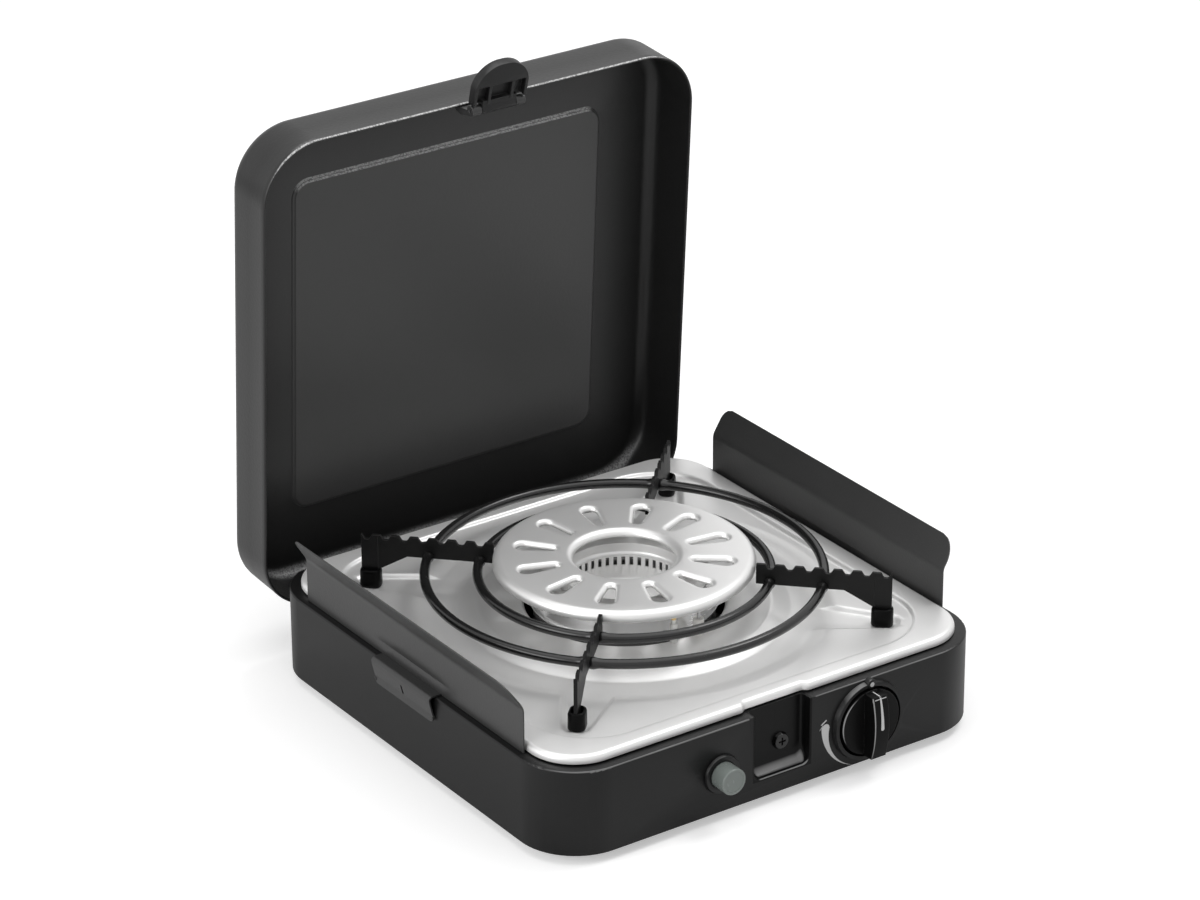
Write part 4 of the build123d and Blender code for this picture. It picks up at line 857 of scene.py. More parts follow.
# ------------------------------------------------------------------ hob
@dataclass
class Hob:
    """The pressed steel top: a rounded rim, a sunk pan, a round dish and a raised collar.

    The four seats run along the diagonals from seat_start to seat_end. They narrow from the first to
    the second half width of seat_widths, and meet the pan in a rounding seat_blend deep.
    """

    half_x: float = 148.0
    half_y: float = 149.5
    corner: float = 30.5
    top: float = 66.0
    edge: float = 3.3
    pan_x: float = 133.0
    pan_y: float = 137.0
    pan_corner: float = 41.5
    pad: float = 63.8
    dish: float = 61.0
    dish_radius: float = 127.2
    dish_run: float = 13.4
    collar: float = 65.6
    opening: float = 60.0
    lip: float = 3.0
    seat_near: float = 104.0
    seat_start: float = 112.0
    seat_end: float = 162.8
    seat_chamfer: float = 3.0
    seat_widths: tuple[float, float] = (14.3, 6.0)
    seat_blend: float = 0.9
    notch_mid: float = 1.0
    notch_half: float = 20.0
    notch_run: float = 4.2
    notch_step: float = 2.5
    sheet: float = 0.8

    def stations(self) -> list[Array]:
        """Places along the four sides, closer together at the front step beside the latch recess.

        Returns:
            An array of places from 0 to 1 for the rear, left, front and right side.
        """
        even = even_steps(32)
        reach = self.half_x - self.corner
        jogs = [self.notch_mid + side * (self.notch_half + np.linspace(-1, 7, 17)) for side in (-1, 1)]
        close = (np.concatenate(jogs) + reach) / (2 * reach)
        front = np.unique(np.concatenate([even, close]).round(5))
        return [even, even, front, even]

    def ring(self, half_x: float, half_y: float, corner: float, height: float, step: float = 0.0) -> Array:
        """A rounded rectangle at a height.

        In front of the latch recess it is moved back by step. The change is smooth: it rises as
        s*s*(3 - 2s) along notch_run at each side of the recess.

        Args:
            half_x: Half the width.
            half_y: Half the depth.
            corner: The corners' radius.
            height: The ring's height.
            step: How far it moves back.

        Returns:
            The ring's points, of shape (points, 3).
        """
        flat = rounded_loop(half_x, half_y, corner, 72, self.stations())
        inside = 1.0 - (np.abs(flat[:, 0] - self.notch_mid) - self.notch_half) / self.notch_run
        s = np.clip(inside, 0.0, 1.0)
        flat[:, 1] += step * s * s * (3 - 2 * s) * (flat[:, 1] < -half_y + corner)
        return np.column_stack([flat[:, 0], flat[:, 1] + BURNER_Y, np.full(len(flat), height)])

    def circle(self, radius: float, height: float) -> Array:
        """A circle round the burner whose points have the bearings of the pan ring's points.

        Args:
            radius: The circle's radius.
            height: Its height.

        Returns:
            Its points, of shape (points, 3).
        """
        flat = self.ring(self.pan_x, self.pan_y, self.pan_corner, height)
        bearing = np.arctan2(flat[:, 1] - BURNER_Y, flat[:, 0])
        return np.column_stack(
            [radius * np.cos(bearing), BURNER_Y + radius * np.sin(bearing), np.full(len(flat), height)]
        )

    def seats(self, points: Array) -> None:
        """Lowers the points in the four seats of the boots.

        A seat's floor is a tapered strip along a diagonal, level with the dish. Its wall leaves the
        strip at 45 degrees and meets the pan in a rounding: the smooth minimum of both heights.

        Args:
            points: The hob's points, changed in place.
        """
        x, y, z = points[:, 0], points[:, 1] - BURNER_Y, points[:, 2]
        inner = (z < self.pad + 0.01) & (np.hypot(x, y) > self.seat_near)
        wide, narrow = self.seat_widths
        blend = self.seat_blend
        for angle in (45, 135, 225, 315):
            out, left = heading(angle)
            along, across = x * out[0] + y * out[1], np.abs(x * left[0] + y * left[1])
            half = np.interp(along, [self.seat_start, self.seat_end - self.seat_chamfer], [wide, narrow])
            slant = (across + along - self.seat_end - narrow + self.seat_chamfer) / math.sqrt(2)
            away = np.maximum(np.maximum(across - half, along - self.seat_end), slant)
            wall = self.dish + np.maximum(away, 0.0)
            share = np.clip(0.5 + 0.5 * (wall - points[:, 2]) / blend, 0.0, 1.0)
            low = wall + (points[:, 2] - wall) * share - blend * share * (1.0 - share)
            points[:, 2] = np.where(inner & (along > 0), np.maximum(low, self.dish), points[:, 2])

    def build(self) -> None:
        """Lofts the rings from the skirt to the burner opening."""
        top, pad, dish, collar = self.top, self.pad, self.dish, self.collar
        rim = [(0.0, DECK + 0.05), (0.0, DECK + 1.2)]
        rim += arc((self.edge, top - self.edge), self.edge, 180, 90, 8)
        rings = [
            self.ring(self.half_x - inset, self.half_y - inset, self.corner - inset, z, self.notch_step)
            for inset, z in rim
        ]
        wall = [(2.6, 0.0), (1.5, 0.0), (0.9, 0.05), (0.4, 0.14), (0.0, 0.3), (-0.35, 0.5), (-0.7, 0.7),
                (-1.1, 0.86), (-1.6, 0.95), (-2.2, 1.0), (-3.2, 1.0)]
        rings += [
            self.ring(self.pan_x + grow, self.pan_y + grow, self.pan_corner + grow, top - (top - pad) * share)
            for grow, share in wall
        ]
        inner = self.circle(self.dish_radius, pad)
        rings += [rings[-1] + (inner - rings[-1]) * s for s in even_steps(19)]
        rounds = [(self.dish_radius - self.dish_run * s, pad + (dish - pad) * s * s * (3 - 2 * s))
                  for s in np.linspace(0.0, 1.0, 9)]
        rounds += [(112.5, dish), (108.0, dish), (104.0, dish), (100.0, dish), (98.9, dish + 0.2),
                   (97.8, dish + 0.7), (89.8, collar - 0.7), (88.7, collar - 0.1), (87.6, collar + 0.15),
                   (86.2, collar + 0.1), (84.8, collar), (74.0, collar)]
        rounds += arc((self.opening + self.lip, collar - self.lip), self.lip, 90, 180, 7)
        points, faces = loft(rings + [self.circle(r, z) for r, z in rounds])
        self.seats(points)
        Piece("hob_pressing", "casing", Finish.HOB, ("hob_top",)).build(points, faces, thick=self.sheet)


# ------------------------------------------------------------------ burner
@dataclass
class Burner:
    """The bowl under the plate and the slotted port cup in its middle."""

    steps: int = 144
    wall: float = 1.0
    bead: tuple[float, float] = (55.6, 67.0)
    bead_radius: float = 1.4
    ports: int = 45
    port_share: float = 0.48
    low: float = 70.0
    high: float = 75.6
    cup_wall: float = 0.9

    def bowl(self) -> None:
        """Turns the bowl: a cup, a bead at the hob's opening and a cone up to the port cup."""
        outer = [(0.01, 34.0), (43.0, 34.0), (45.0, 34.8), (54.0, 44.5), (55.0, 47.0), (55.0, 62.5),
                 (55.3, 64.2)]
        outer += arc(self.bead, self.bead_radius, -60, 60, 7)
        outer = np.array(outer + [(55.6, 69.6), (53.9, 73.5), (52.2, 78.0), (51.0, 81.5), (50.0, 83.0)])
        side = outer[:, 0] > 1
        floor = outer[:, 1] < 40
        inner = outer + self.wall * np.column_stack([-1.0 * side, floor])
        grid = revolve(np.concatenate([outer, inner[::-1]]), (0.0, BURNER_Y), self.steps)
        Piece("burner_pot", "casing", Finish.BOWL, ("burner_bowl",)).build(
            grid, quads(len(grid), self.steps, wrap_rows=True)
        )

    def port_cup(self) -> None:
        """Turns the port cup and leaves out the faces of its slots.

        Each port has four bearings: both sides of its slot, and two near the middle of its bar.
        """
        profile = [(51.0, 84.0), (44.0, 84.0), (38.4, 84.0), (37.2, 83.5), (36.9, 82.4), (36.9, 78.6),
                   (36.3, 77.4), (34.9, 76.6), (34.7, self.high), (34.7, self.low), (34.7, 63.5),
                   (33.8, 61.0), (31.5, 59.2), (28.0, 59.0), (12.0, 59.0), (0.01, 59.0)]
        pitch = 2 * math.pi / self.ports
        half = pitch / 2 * self.port_share
        shifts = np.array([-half, half, pitch * 0.45, pitch * 0.55])
        bearing = (np.arange(self.ports)[:, None] * pitch + shifts).ravel()
        size = np.array(profile)[:, :, None]
        x, y = size[:, 0] * np.cos(bearing), BURNER_Y + size[:, 0] * np.sin(bearing)
        grid = np.stack([x, y, np.broadcast_to(size[:, 1], x.shape)], -1)
        faces = quads(len(profile), len(bearing))
        row, column = np.divmod(faces[:, 0], len(bearing))
        slot = (row == profile.index((34.7, self.high))) & (column % len(shifts) == 0)
        Piece("port_ring", "casing", Finish.CUP, ("port_cup",)).build(grid, faces[~slot], thick=self.cup_wall)

    def build(self) -> None:
        """Builds both."""
        self.bowl()
        self.port_cup()


@dataclass
class TurboPlate:
    """The round flame plate: a rolled rim, a drawn middle hole and radial slots with drawn edges."""

    top: float = 95.5
    radius: float = 78.5
    roll: float = 5.0
    hem: float = 1.0
    hole: float = 30.8
    hole_roll: float = 4.5
    slots: int = 12
    start: float = 38.5
    end: float = 68.6
    half_in: float = 5.2
    half_out: float = 7.4
    sheet: float = 1.0
    leg_ring: float = 43.0
    legs: int = 4

    @property
    def bounds(self) -> tuple[float, float]:
        """The radii between which the plate is flat."""
        return self.hole + self.hole_roll, self.radius - self.roll

    def slot_ring(self, grow: float, height: float) -> Array:
        """The slot's outline: two arcs of different radius joined by tangents.

        Args:
            grow: How far the outline grows.
            height: Its height.

        Returns:
            Its points, of shape (points, 3).
        """
        near, far = self.start + self.half_in, self.end - self.half_out
        lean = math.asin((self.half_out - self.half_in) / (far - near))
        side = math.pi / 2 + lean
        ends = []
        for middle, half, sweep in (
            (far, self.half_out, np.linspace(-side, side, 25)),
            (near, self.half_in, np.linspace(side, 2 * math.pi - side, 17)),
        ):
            radius = half + grow
            ends.append(np.column_stack([middle + radius * np.cos(sweep), radius * np.sin(sweep)]))
        outer, inner = ends
        s = even_steps(8)[:, None]
        tangents = [a[-1] + (b[0] - a[-1]) * s for a, b in ((outer, inner), (inner, outer))]
        flat = np.concatenate([outer, tangents[0], inner, tangents[1]])
        return np.column_stack([flat, np.full(len(flat), height)])

    def border(self) -> Array:
        """Where rays from the slot's middle through its outline leave the slot's share of the plate.

        The share is bounded by two circles and two radial lines; each ray takes the nearest. With b
        the ray's share of the middle m, it meets a circle of radius r at -b and root(b*b - m*m + r*r).

        Returns:
            The border's points, of shape (points, 3).
        """
        mid = np.array([(self.start + self.end) / 2, 0.0])
        ray = self.slot_ring(0.0, 0.0)[:, :2] - mid
        ray /= np.linalg.norm(ray, axis=1)[:, None]
        half = math.pi / self.slots
        b = ray @ mid
        crossings = []
        for r in self.bounds:
            root = b * b - (mid @ mid - r * r)
            length = np.sqrt(np.maximum(root, 0.0))
            crossings += [np.where(root > 0, -b + sign * length, np.inf) for sign in (-1, 1)]
        for sign in (-1, 1):
            normal = np.array([-math.sin(sign * half), math.cos(sign * half)]) * sign
            crossings.append(-(normal @ mid) / (ray @ normal + 1e-12))
        reach = np.min([np.where(t > 1e-6, t, np.inf) for t in crossings], axis=0)
        edge = mid + ray * reach[:, None]
        for r in self.bounds:
            for sign in (-1, 1):
                corner = r * np.array([math.cos(half), sign * math.sin(half)])
                edge[np.argmin(np.linalg.norm(edge - corner, axis=1))] = corner
        return np.column_stack([edge, np.full(len(edge), self.top)])

    def rolled(self, radius: float, profile: list[Point], edge: Array, turns: Array) -> tuple[Array, Array]:
        """A rolled edge whose points stand at the bearings of the slots' shares.

        Args:
            radius: The radius where the shares end.
            profile: The roll's section, from there on.
            edge: A share's border.
            turns: The bearings of the shares.

        Returns:
            The roll's points and faces.
        """
        ends = edge[np.abs(np.linalg.norm(edge[:, :2], axis=1) - radius) < 1e-4]
        own = np.unique(np.arctan2(ends[:, 1], ends[:, 0]).round(7))
        around = np.unique(((own[None, :] + turns[:, None]) % (2 * math.pi)).round(6))
        p = np.array(profile)
        x, y = p[:, :1] * np.cos(around), p[:, :1] * np.sin(around)
        band = np.stack([x, y, np.broadcast_to(p[:, 1:], x.shape)], -1)
        return band.reshape(-1, 3), quads(len(p), len(around))

    def build(self) -> None:
        """Builds one slot's share, repeats it, and adds the two rolled edges and the legs."""
        drawn = [(-2.7, 3.4), (-2.65, 2.5), (-2.4, 1.6), (-1.95, 0.9), (-1.35, 0.4), (-0.7, 0.1),
                 (0.0, 0.0), (1.0, 0.0)]
        rings = [self.slot_ring(grow, self.top - drop) for grow, drop in drawn]
        edge = self.border()
        sector, faces = loft(rings + [rings[-1] + (edge - rings[-1]) * 0.5, edge])
        turns = np.arange(self.slots) * 2 * math.pi / self.slots + math.pi / self.slots
        shares = []
        for turn in turns:
            c, s = math.cos(turn), math.sin(turn)
            shares.append((sector @ np.array([[c, s, 0], [-s, c, 0], [0, 0, 1.0]]), np.array(faces)))
        low, high = self.bounds
        rim = arc((high, self.top - self.roll), self.roll, 90, 0, 9)
        rim.append((self.radius, self.top - self.roll - self.hem))
        shares.append(self.rolled(high, rim, edge, turns))
        hole = arc((low, self.top - self.hole_roll), self.hole_roll, 90, 180, 9)
        band, band_faces = self.rolled(low, hole, edge, turns)
        shares.append((band, band_faces[:, ::-1]))
        starts = np.cumsum([0] + [len(points) for points, _ in shares])
        points = np.concatenate([points for points, _ in shares])
        points[:, 1] += BURNER_Y
        faces = np.concatenate([own + start for (_, own), start in zip(shares, starts)])
        Piece("flame_plate", "turbo_plate", Finish.PLATE, ("turbo_plate",), sharp=60).build(
            points, faces, flip=True, thick=self.sheet
        )
        for number in range(self.legs):
            out, _ = heading(number * 360 / self.legs)
            spot = (self.leg_ring * out[0], BURNER_Y + self.leg_ring * out[1])
            rings = revolve([(2.1, 84.05), (2.5, 84.4), (2.5, 94.6)], spot, 24)
            Piece(f"plate_leg_{number}", "turbo_plate", Finish.PLATE).build(*loft(rings, True, True))


# ------------------------------------------------------------------ pan support
@dataclass
class PanSupport:
    """Two wire rings under four upright arms that stand in rubber boots."""

    wire: float = 3.0
    rings: tuple[tuple[str, float], ...] = (("outer_ring", 119.0), ("inner_ring", 87.5))
    ring_height: float = 84.0
    ring_steps: tuple[int, int] = (720, 20)
    weld: float = 0.75
    weld_run: float = 2.4
    weld_side: float = 2.6
    top: float = 95.3
    bottom: float = 82.3
    inner: float = 79.2
    outer: float = 160.3
    gusset: float = 132.0
    gusset_end: float = 72.6
    pitch: float = 11.5
    last_crest: float = 3.6
    wave: float = 3.0
    cut_start: float = 0.3
    cut_run: float = 0.66
    thick: float = 2.3
    leg: float = 10.8
    foot: float = 63.1
    boot_low: float = 61.1
    boot_proud: float = 1.1
    boot_size: tuple[float, float, float] = (13.2, 10.4, 11.6)
    boot_corner: float = 4.2

    def wire_ring(self, name: str, radius: float) -> None:
        """A round wire bent to a circle, thicker where it is welded to the four arms.

        r = radius + w cos b and z = height + w sin b, with w = wire + weld exp(-(d / weld_run)^2) at
        a distance d from the weld, which stands weld_side beside the arm's middle.

        Args:
            name: The ring's node.
            radius: The radius of the wire's middle.
        """
        steps, sides = self.ring_steps
        turn = np.linspace(0, 2 * math.pi, steps, endpoint=False)
        section = np.linspace(0, 2 * math.pi, sides, endpoint=False)
        away = np.abs((turn % (math.pi / 2)) - math.pi / 4) * radius - self.weld_side
        wire = (self.wire + self.weld * np.exp(-((away / self.weld_run) ** 2)))[:, None]
        r = radius + wire * np.cos(section)
        z = self.ring_height + wire * np.sin(section)
        grid = np.stack([r * np.cos(turn)[:, None], BURNER_Y + r * np.sin(turn)[:, None], z], -1)
        Piece(f"{name}_wire", "pan_support", Finish.WIRE, (name,), sharp=80).build(
            grid, quads(steps, sides, wrap_rows=True), flip=True
        )

    def arm(self, name: str, angle: float) -> None:
        """A flat arm whose top edge has wide crests and narrow valleys.

        With a wave v = (1 - cos)/2 of the pitch, the edge drops by wave s*s*(3 - 2s), where s is
        (v - cut_start) / cut_run kept between 0 and 1.

        Args:
            name: The arm's node.
            angle: Its bearing in degrees.
        """
        leg_start = self.outer - self.leg
        span, leg = np.linspace(self.inner, leg_start, 200), np.linspace(leg_start, self.outer, 32)
        r = np.concatenate([span, leg])
        phase = (r - (self.outer - self.last_crest - self.pitch / 2)) / self.pitch
        v = 0.5 * (1 - np.cos(2 * math.pi * phase))
        s = np.clip((v - self.cut_start) / self.cut_run, 0.0, 1.0)
        top = self.top - self.wave * s * s * (3 - 2 * s)
        slope = np.interp(r, [self.gusset, leg_start], [self.bottom, self.gusset_end])
        low = np.where(r < self.gusset, self.bottom, slope)
        low[len(span) :] = self.foot
        side = np.array([-0.5, -0.5, 0.5, 0.5]) * self.thick
        out, left = heading(angle)
        flat = r[:, None, None] * out + side[None, :, None] * left + (0.0, BURNER_Y)
        grid = np.concatenate([flat, np.stack([low, top, top, low], -1)[..., None]], -1)
        end = (len(r) - 1) * 4
        faces = [*quads(len(r), 4), (3, 2, 1, 0), range(end, end + 4)]
        Piece(f"{name}_blade", "pan_support", Finish.ARM, (name,), sharp=50).build(
            grid, faces, flip=True, bevel=0.45
        )

    def boot(self, name: str, angle: float) -> None:
        """A rubber boot: rounded rings up its side, over its rim and down into its socket.

        Args:
            name: The boot's node.
            angle: Its bearing in degrees.
        """
        long, wide, high = self.boot_size
        out, left = heading(angle)
        middle = self.outer - long / 2 + self.boot_proud
        levels = [(-1.0, 0.05), (-0.25, 0.4), (0.0, 1.2), (-0.1, high - 1.6), (-0.45, high - 0.5),
                  (-1.1, high), (-1.7, high), (-2.1, high - 0.5), (-2.3, high - 3.5)]
        rings = []
        for grow, z in levels:
            flat = rounded_loop(
                long / 2 + grow, wide / 2 + grow, self.boot_corner + grow * 0.6, 8, [even_steps(2)] * 4
            )
            place = (middle + flat[:, :1]) * out + flat[:, 1:] * left + (0.0, BURNER_Y)
            rings.append(np.column_stack([place, np.full(len(flat), self.boot_low + z)]))
        Piece(f"{name}_rubber", "pan_support", Finish.BOOT, (name,), sharp=60).build(*loft(rings, True, True))

    def build(self) -> None:
        """Builds the rings, the arms and the boots."""
        for name, radius in self.rings:
            self.wire_ring(name, radius)
        corners = {"front_right": -45, "front_left": -135, "rear_left": 135, "rear_right": 45}
        for where, angle in corners.items():
            self.arm(f"arm_{where}", angle)
            self.boot(f"boot_{where}", angle)


# ------------------------------------------------------------------ windshields
@dataclass
class Windshields:
    """Two bent sheets that stand on the casing's rim, each with a hook over the side."""

    x: float = 150.0
    front: float = 41.0
    length: float = 231.5
    upright: float = 28.0
    flare: float = 16.0
    reach: float = 10.0
    bend: float = 9.0
    corner_front: float = 13.0
    corner_rear: float = 7.0
    sheet: float = 1.0
    clip: float = 62.0
    crease: float = 7.8
    crease_depth: float = 0.35
    drop: float = 16.0
    lean: float = 2.9
    hook_bend: float = 2.4
    hook_corner: float = 3.0
    slit: float = 1.6
    edge: float = 0.22

    @property
    def base(self) -> tuple[float, float, float]:
        """The place of the sheet's lower front corner on the right side."""
        return self.x, FRONT_Y + self.front, DECK + 0.1

    def profile(self) -> Array:
        """The sheet's section: an upright line with a crease, a bend of constant radius and a flare.

        Returns:
            Outward offset and height, as rows.
        """
        lean = math.atan2(self.reach, self.flare)
        rise = self.upright - self.bend * math.tan(lean / 2)
        crease = self.crease
        heights = np.array([0.0, 1.0, crease - 0.5, crease, crease + 0.5, 14.0, rise])
        turns = np.linspace(0, lean, 9)[1:]
        bend = np.column_stack([self.bend * (1 - np.cos(turns)), rise + self.bend * np.sin(turns)])
        end = np.array((self.reach, self.upright + self.flare))
        flare = bend[-1] + (end - bend[-1]) * np.linspace(0, 1, 14)[1:, None]
        return np.concatenate([np.column_stack([np.zeros(len(heights)), heights]), bend, flare])

    def panel(self, side: int, name: str) -> None:
        """The sheet: rows of its section by steps along it, with round upper corners.

        Args:
            side: 1 on the right and -1 on the left.
            name: The windshield's node.
        """
        line = self.profile()
        high = line[:, 1]

        def cut(radius: float) -> Array:
            """How far a round corner of that radius cuts in at each height."""
            rise = np.clip(high - (high[-1] - radius), 0, radius)
            return radius - np.sqrt(np.maximum(radius**2 - rise**2, 0))

        low = (self.length - self.clip) / 2
        before = np.linspace(0, low, 14)
        beside = np.linspace(low, low + self.clip, 6)[1:]
        after = np.linspace(low + self.clip, self.length, 14)[1:]
        steps = np.concatenate([before, beside, after]) / self.length
        start, stop = cut(self.corner_front), self.length - cut(self.corner_rear)
        x, y, z = self.base
        along = start[:, None] + (stop - start)[:, None] * steps
        out = np.broadcast_to(line[:, :1], along.shape).copy()
        out[high == self.crease, len(before) - 1 : len(before) + len(beside)] -= self.crease_depth
        up = np.broadcast_to(line[:, 1:], along.shape)
        grid = np.stack([side * (x + out), y + along, z + up], -1)
        faces = quads(len(line), len(steps), wrap_columns=False)
        self.sheet_piece(Piece(f"{name}_sheet", name, Finish.SHIELD, (name,)), grid, faces, side < 0)

    def hook(self, side: int, name: str) -> None:
        """The hook: a strip bent from the sheet out over the rim, then down and in as a spring.

        Args:
            side: 1 on the right and -1 on the left.
            name: The windshield's node.
        """
        gap = BODY_WIDTH / 2 - self.x + 0.3 + self.sheet / 2
        top, bend, corner = gap + self.lean, self.hook_bend, self.hook_corner
        path = [(0.0, 0.5)] + arc((top - bend, 0.5 - bend), bend, 90, 15, 7)
        path += [(top - 0.65, -4.5), (gap + 0.75, -10.5)]
        path += [(gap, 3.0 - self.drop), (gap + 0.5, 1.0 - self.drop), (gap + 1.1, -self.drop)]
        line = np.array(path)
        middle, end = self.clip / 2, [0.0, 0.8, 2.4]
        half = np.concatenate([end, np.linspace(4.0, middle - self.slit / 2, 8)])
        steps = np.concatenate([half, self.clip - half[::-1]])
        out, up = (np.broadcast_to(line[:, [k]], (len(line), len(steps))).copy() for k in (0, 1))
        inward = np.clip(corner - np.minimum(steps, self.clip - steps), 0, corner)
        up[-1] += corner - np.sqrt(corner**2 - inward**2)
        up[-2] = np.maximum(up[-2], up[-1] + 0.01)
        x, y, z = self.base
        along = y + (self.length - self.clip) / 2 + np.broadcast_to(steps, up.shape)
        faces = quads(len(line), len(steps), wrap_columns=False)
        row, column = np.divmod(faces[:, 0], len(steps))
        faces = faces[~((row == len(line) - 5) & (column == len(half) - 1))]
        grid = np.stack([side * (x + out), along, z + up], -1)
        self.sheet_piece(Piece(f"{name}_hook", name, Finish.SHIELD), grid, faces, side > 0)

    def sheet_piece(self, piece: Piece, grid: Array, faces: Array, flip: bool) -> None:
        """Builds a piece of sheet with equal thickness on both sides and slightly rounded edges.

        Args:
            piece: The piece.
            grid: The points of the sheet's middle.
            faces: Its faces.
            flip: Turns every face round.
        """
        made = piece.build(grid, faces, flip=flip, thick=self.sheet)
        made.modifiers["wall"].offset = 0.0
        round_edges(made, self.edge, 2, 50)

    def build(self) -> None:
        """Builds both windshields."""
        for side, name in ((-1, "windshield_left"), (1, "windshield_right")):
            self.panel(side, name)
            self.hook(side, name)


# ------------------------------------------------------------------ lid
@dataclass
class Lid:
    """The pressed lid: a deep tray with a hemmed lip and a square pressed into its panel."""

    half_x: float = 153.7
    half_u: float = 155.5
    corner: float = 38.0
    depth: float = 40.0
    edge: float = 9.0
    sheet: float = 1.0
    hem: float = 1.7
    hem_proud: float = 0.12
    lip: float = 1.3
    wall_mid: float = 18.0
    square: float = 111.5
    square_corner: float = 12.0
    square_hub: float = 60.0
    band: float = 4.0
    press: float = 2.0
    open_angle: float = 86.4
    hinge_inset: float = 14.832
    hinge_drop: float = 18.0
    lid_inset: float = 1.0
    lid_gap: float = 1.3

    def place(self, flat: Array, out: float) -> Array:
        """Puts lid points in the frame: the closed lid is turned about its hinge by the opening angle.

        Args:
            flat: Points across and along the lid.
            out: Their distance out of the lip's plane.

        Returns:
            The points, of shape (points, 3).
        """
        turn = math.radians(self.open_angle)
        y = self.hinge_inset - self.lid_inset - (flat[:, 1] + self.half_u)
        z = self.hinge_drop + self.lid_gap - out
        return np.column_stack([
            flat[:, 0],
            REAR_Y - self.hinge_inset + y * math.cos(turn) + z * math.sin(turn),
            DECK - self.hinge_drop - y * math.sin(turn) + z * math.cos(turn),
        ])

    def rings(self, half_x: float, half_u: float, corner: float, cuts: Iterable[Point]) -> list[Array]:
        """Round-cornered rings of matching points.

        Args:
            half_x: Half the outline's width.
            half_u: Half its length.
            corner: Its corners' radius.
            cuts: How far each ring is moved in, and its distance out of the lip's plane.

        Returns:
            The rings.
        """
        sides = [even_steps(16)] * 4
        return [
            self.place(rounded_loop(half_x - inset, half_u - inset, max(corner - inset, 2.0), 24, sides), out)
            for inset, out in cuts
        ]

    def tray(self, *cuts: Point) -> list[Array]:
        """Rings of the lid's outline."""
        return self.rings(self.half_x, self.half_u, self.corner, cuts)

    def pressed(self, *cuts: Point) -> list[Array]:
        """Rings of the pressed square's outline."""
        return self.rings(self.square, self.square, self.square_corner, cuts)

    def build(self) -> None:
        """Lofts the outside, the hem and the inside as one closed skin, then dresses the rest.

        The skin is made zone by zone. With its rings, each zone has how much lighter its colour is
        painted, as painted light, and how much painted highlight it gets.
        """
        back, skin, lip, proud = -self.depth, self.sheet, self.lip, self.hem_proud
        inside = back + skin
        bend = (self.edge, back + self.edge)
        middle, half = (self.hem - proud) / 2, (self.hem + proud) / 2
        bead = [(middle + half * x, lip * (z - 1.0)) for x, z in arc((0, 0), 1.0, 180, 0, 11)[1:]]
        ramp = [(0.2, 0.1), (0.75, 0.9), (1.15, 1.05), (1.55, 1.15), (2.1, 1.9), (2.5, 1.98), (3.4, 2.0)]
        # Each zone: its rings, then painted light (how much lighter its colour is), then its share of painted
        # highlight.
        zones = [
            (self.pressed((self.square_hub, back + self.press), (3.4, back + 2.0), (2.4, back + 1.86),
                          (1.0, back + 0.2), (0.0, back)), 0.0, 0.0),
            (self.tray((self.edge + self.band, back), *arc(bend, self.edge, -90, -180, 10)), 0.0, 0.0),
            (self.tray((0.0, -self.wall_mid), (0.0, -4.6), (-proud, -3.9)), 0.0, 0.0),
            (self.tray((-proud, -lip), *bead, (self.hem, -3.6)), 0.0, 1.0),
            (self.tray((skin + 0.1, -4.1)), 0.0, 0.0),
            (self.tray((skin, -self.wall_mid), *arc(bend, self.edge - skin, 180, 270, 10)), 0.0, 0.3),
            (self.tray((self.edge + self.band, inside)), 0.1, 0.0),
            (self.pressed((-0.4, inside)), 0.5, 1.0),
            (self.pressed(*((inset, inside + rise) for inset, rise in ramp)), 1.0, 1.0),
            (self.pressed((self.square_hub, inside + self.press)), 1.0, 0.0),
        ]
        rings = [ring for zone, _, _ in zones for ring in zone]
        points, faces = loft(rings, cap_start=True, cap_end=True)
        counts = [len(zone) * len(rings[0]) for zone, _, _ in zones]
        # Painted light and painted highlight shares, repeated for each point of their zone; the end cap is
        # painted lighter.
        coat = np.append(np.repeat([thick for _, thick, _ in zones], counts), (0.0, 1.0))
        highlight_share = np.append(np.repeat([highlight_part for _, _, highlight_part in zones], counts), (0.0, 0.0))
        Piece("lid_pressing", "lid", Finish.LID, ("lid_shell",), sharp=40).build(
            points, faces, coat=coat, highlight_share=highlight_share
        )
        for name in ("hinge_arm_left", "hinge_arm_right"):
            Piece(f"{name}_bar", "lid", Finish.SHIELD, (name,)).copy_node(0.4)
        Piece("latch_bracket_plate", "lid", Finish.SHIELD, ("latch_bracket",)).copy_node(0.3)
        Piece("latch_tongue", "latch", Finish.LATCH, ("latch",)).copy_node(0.45)
        dress("latch_pin", Finish.SCREW)
        dress("arm_rivets", Finish.SCREW)


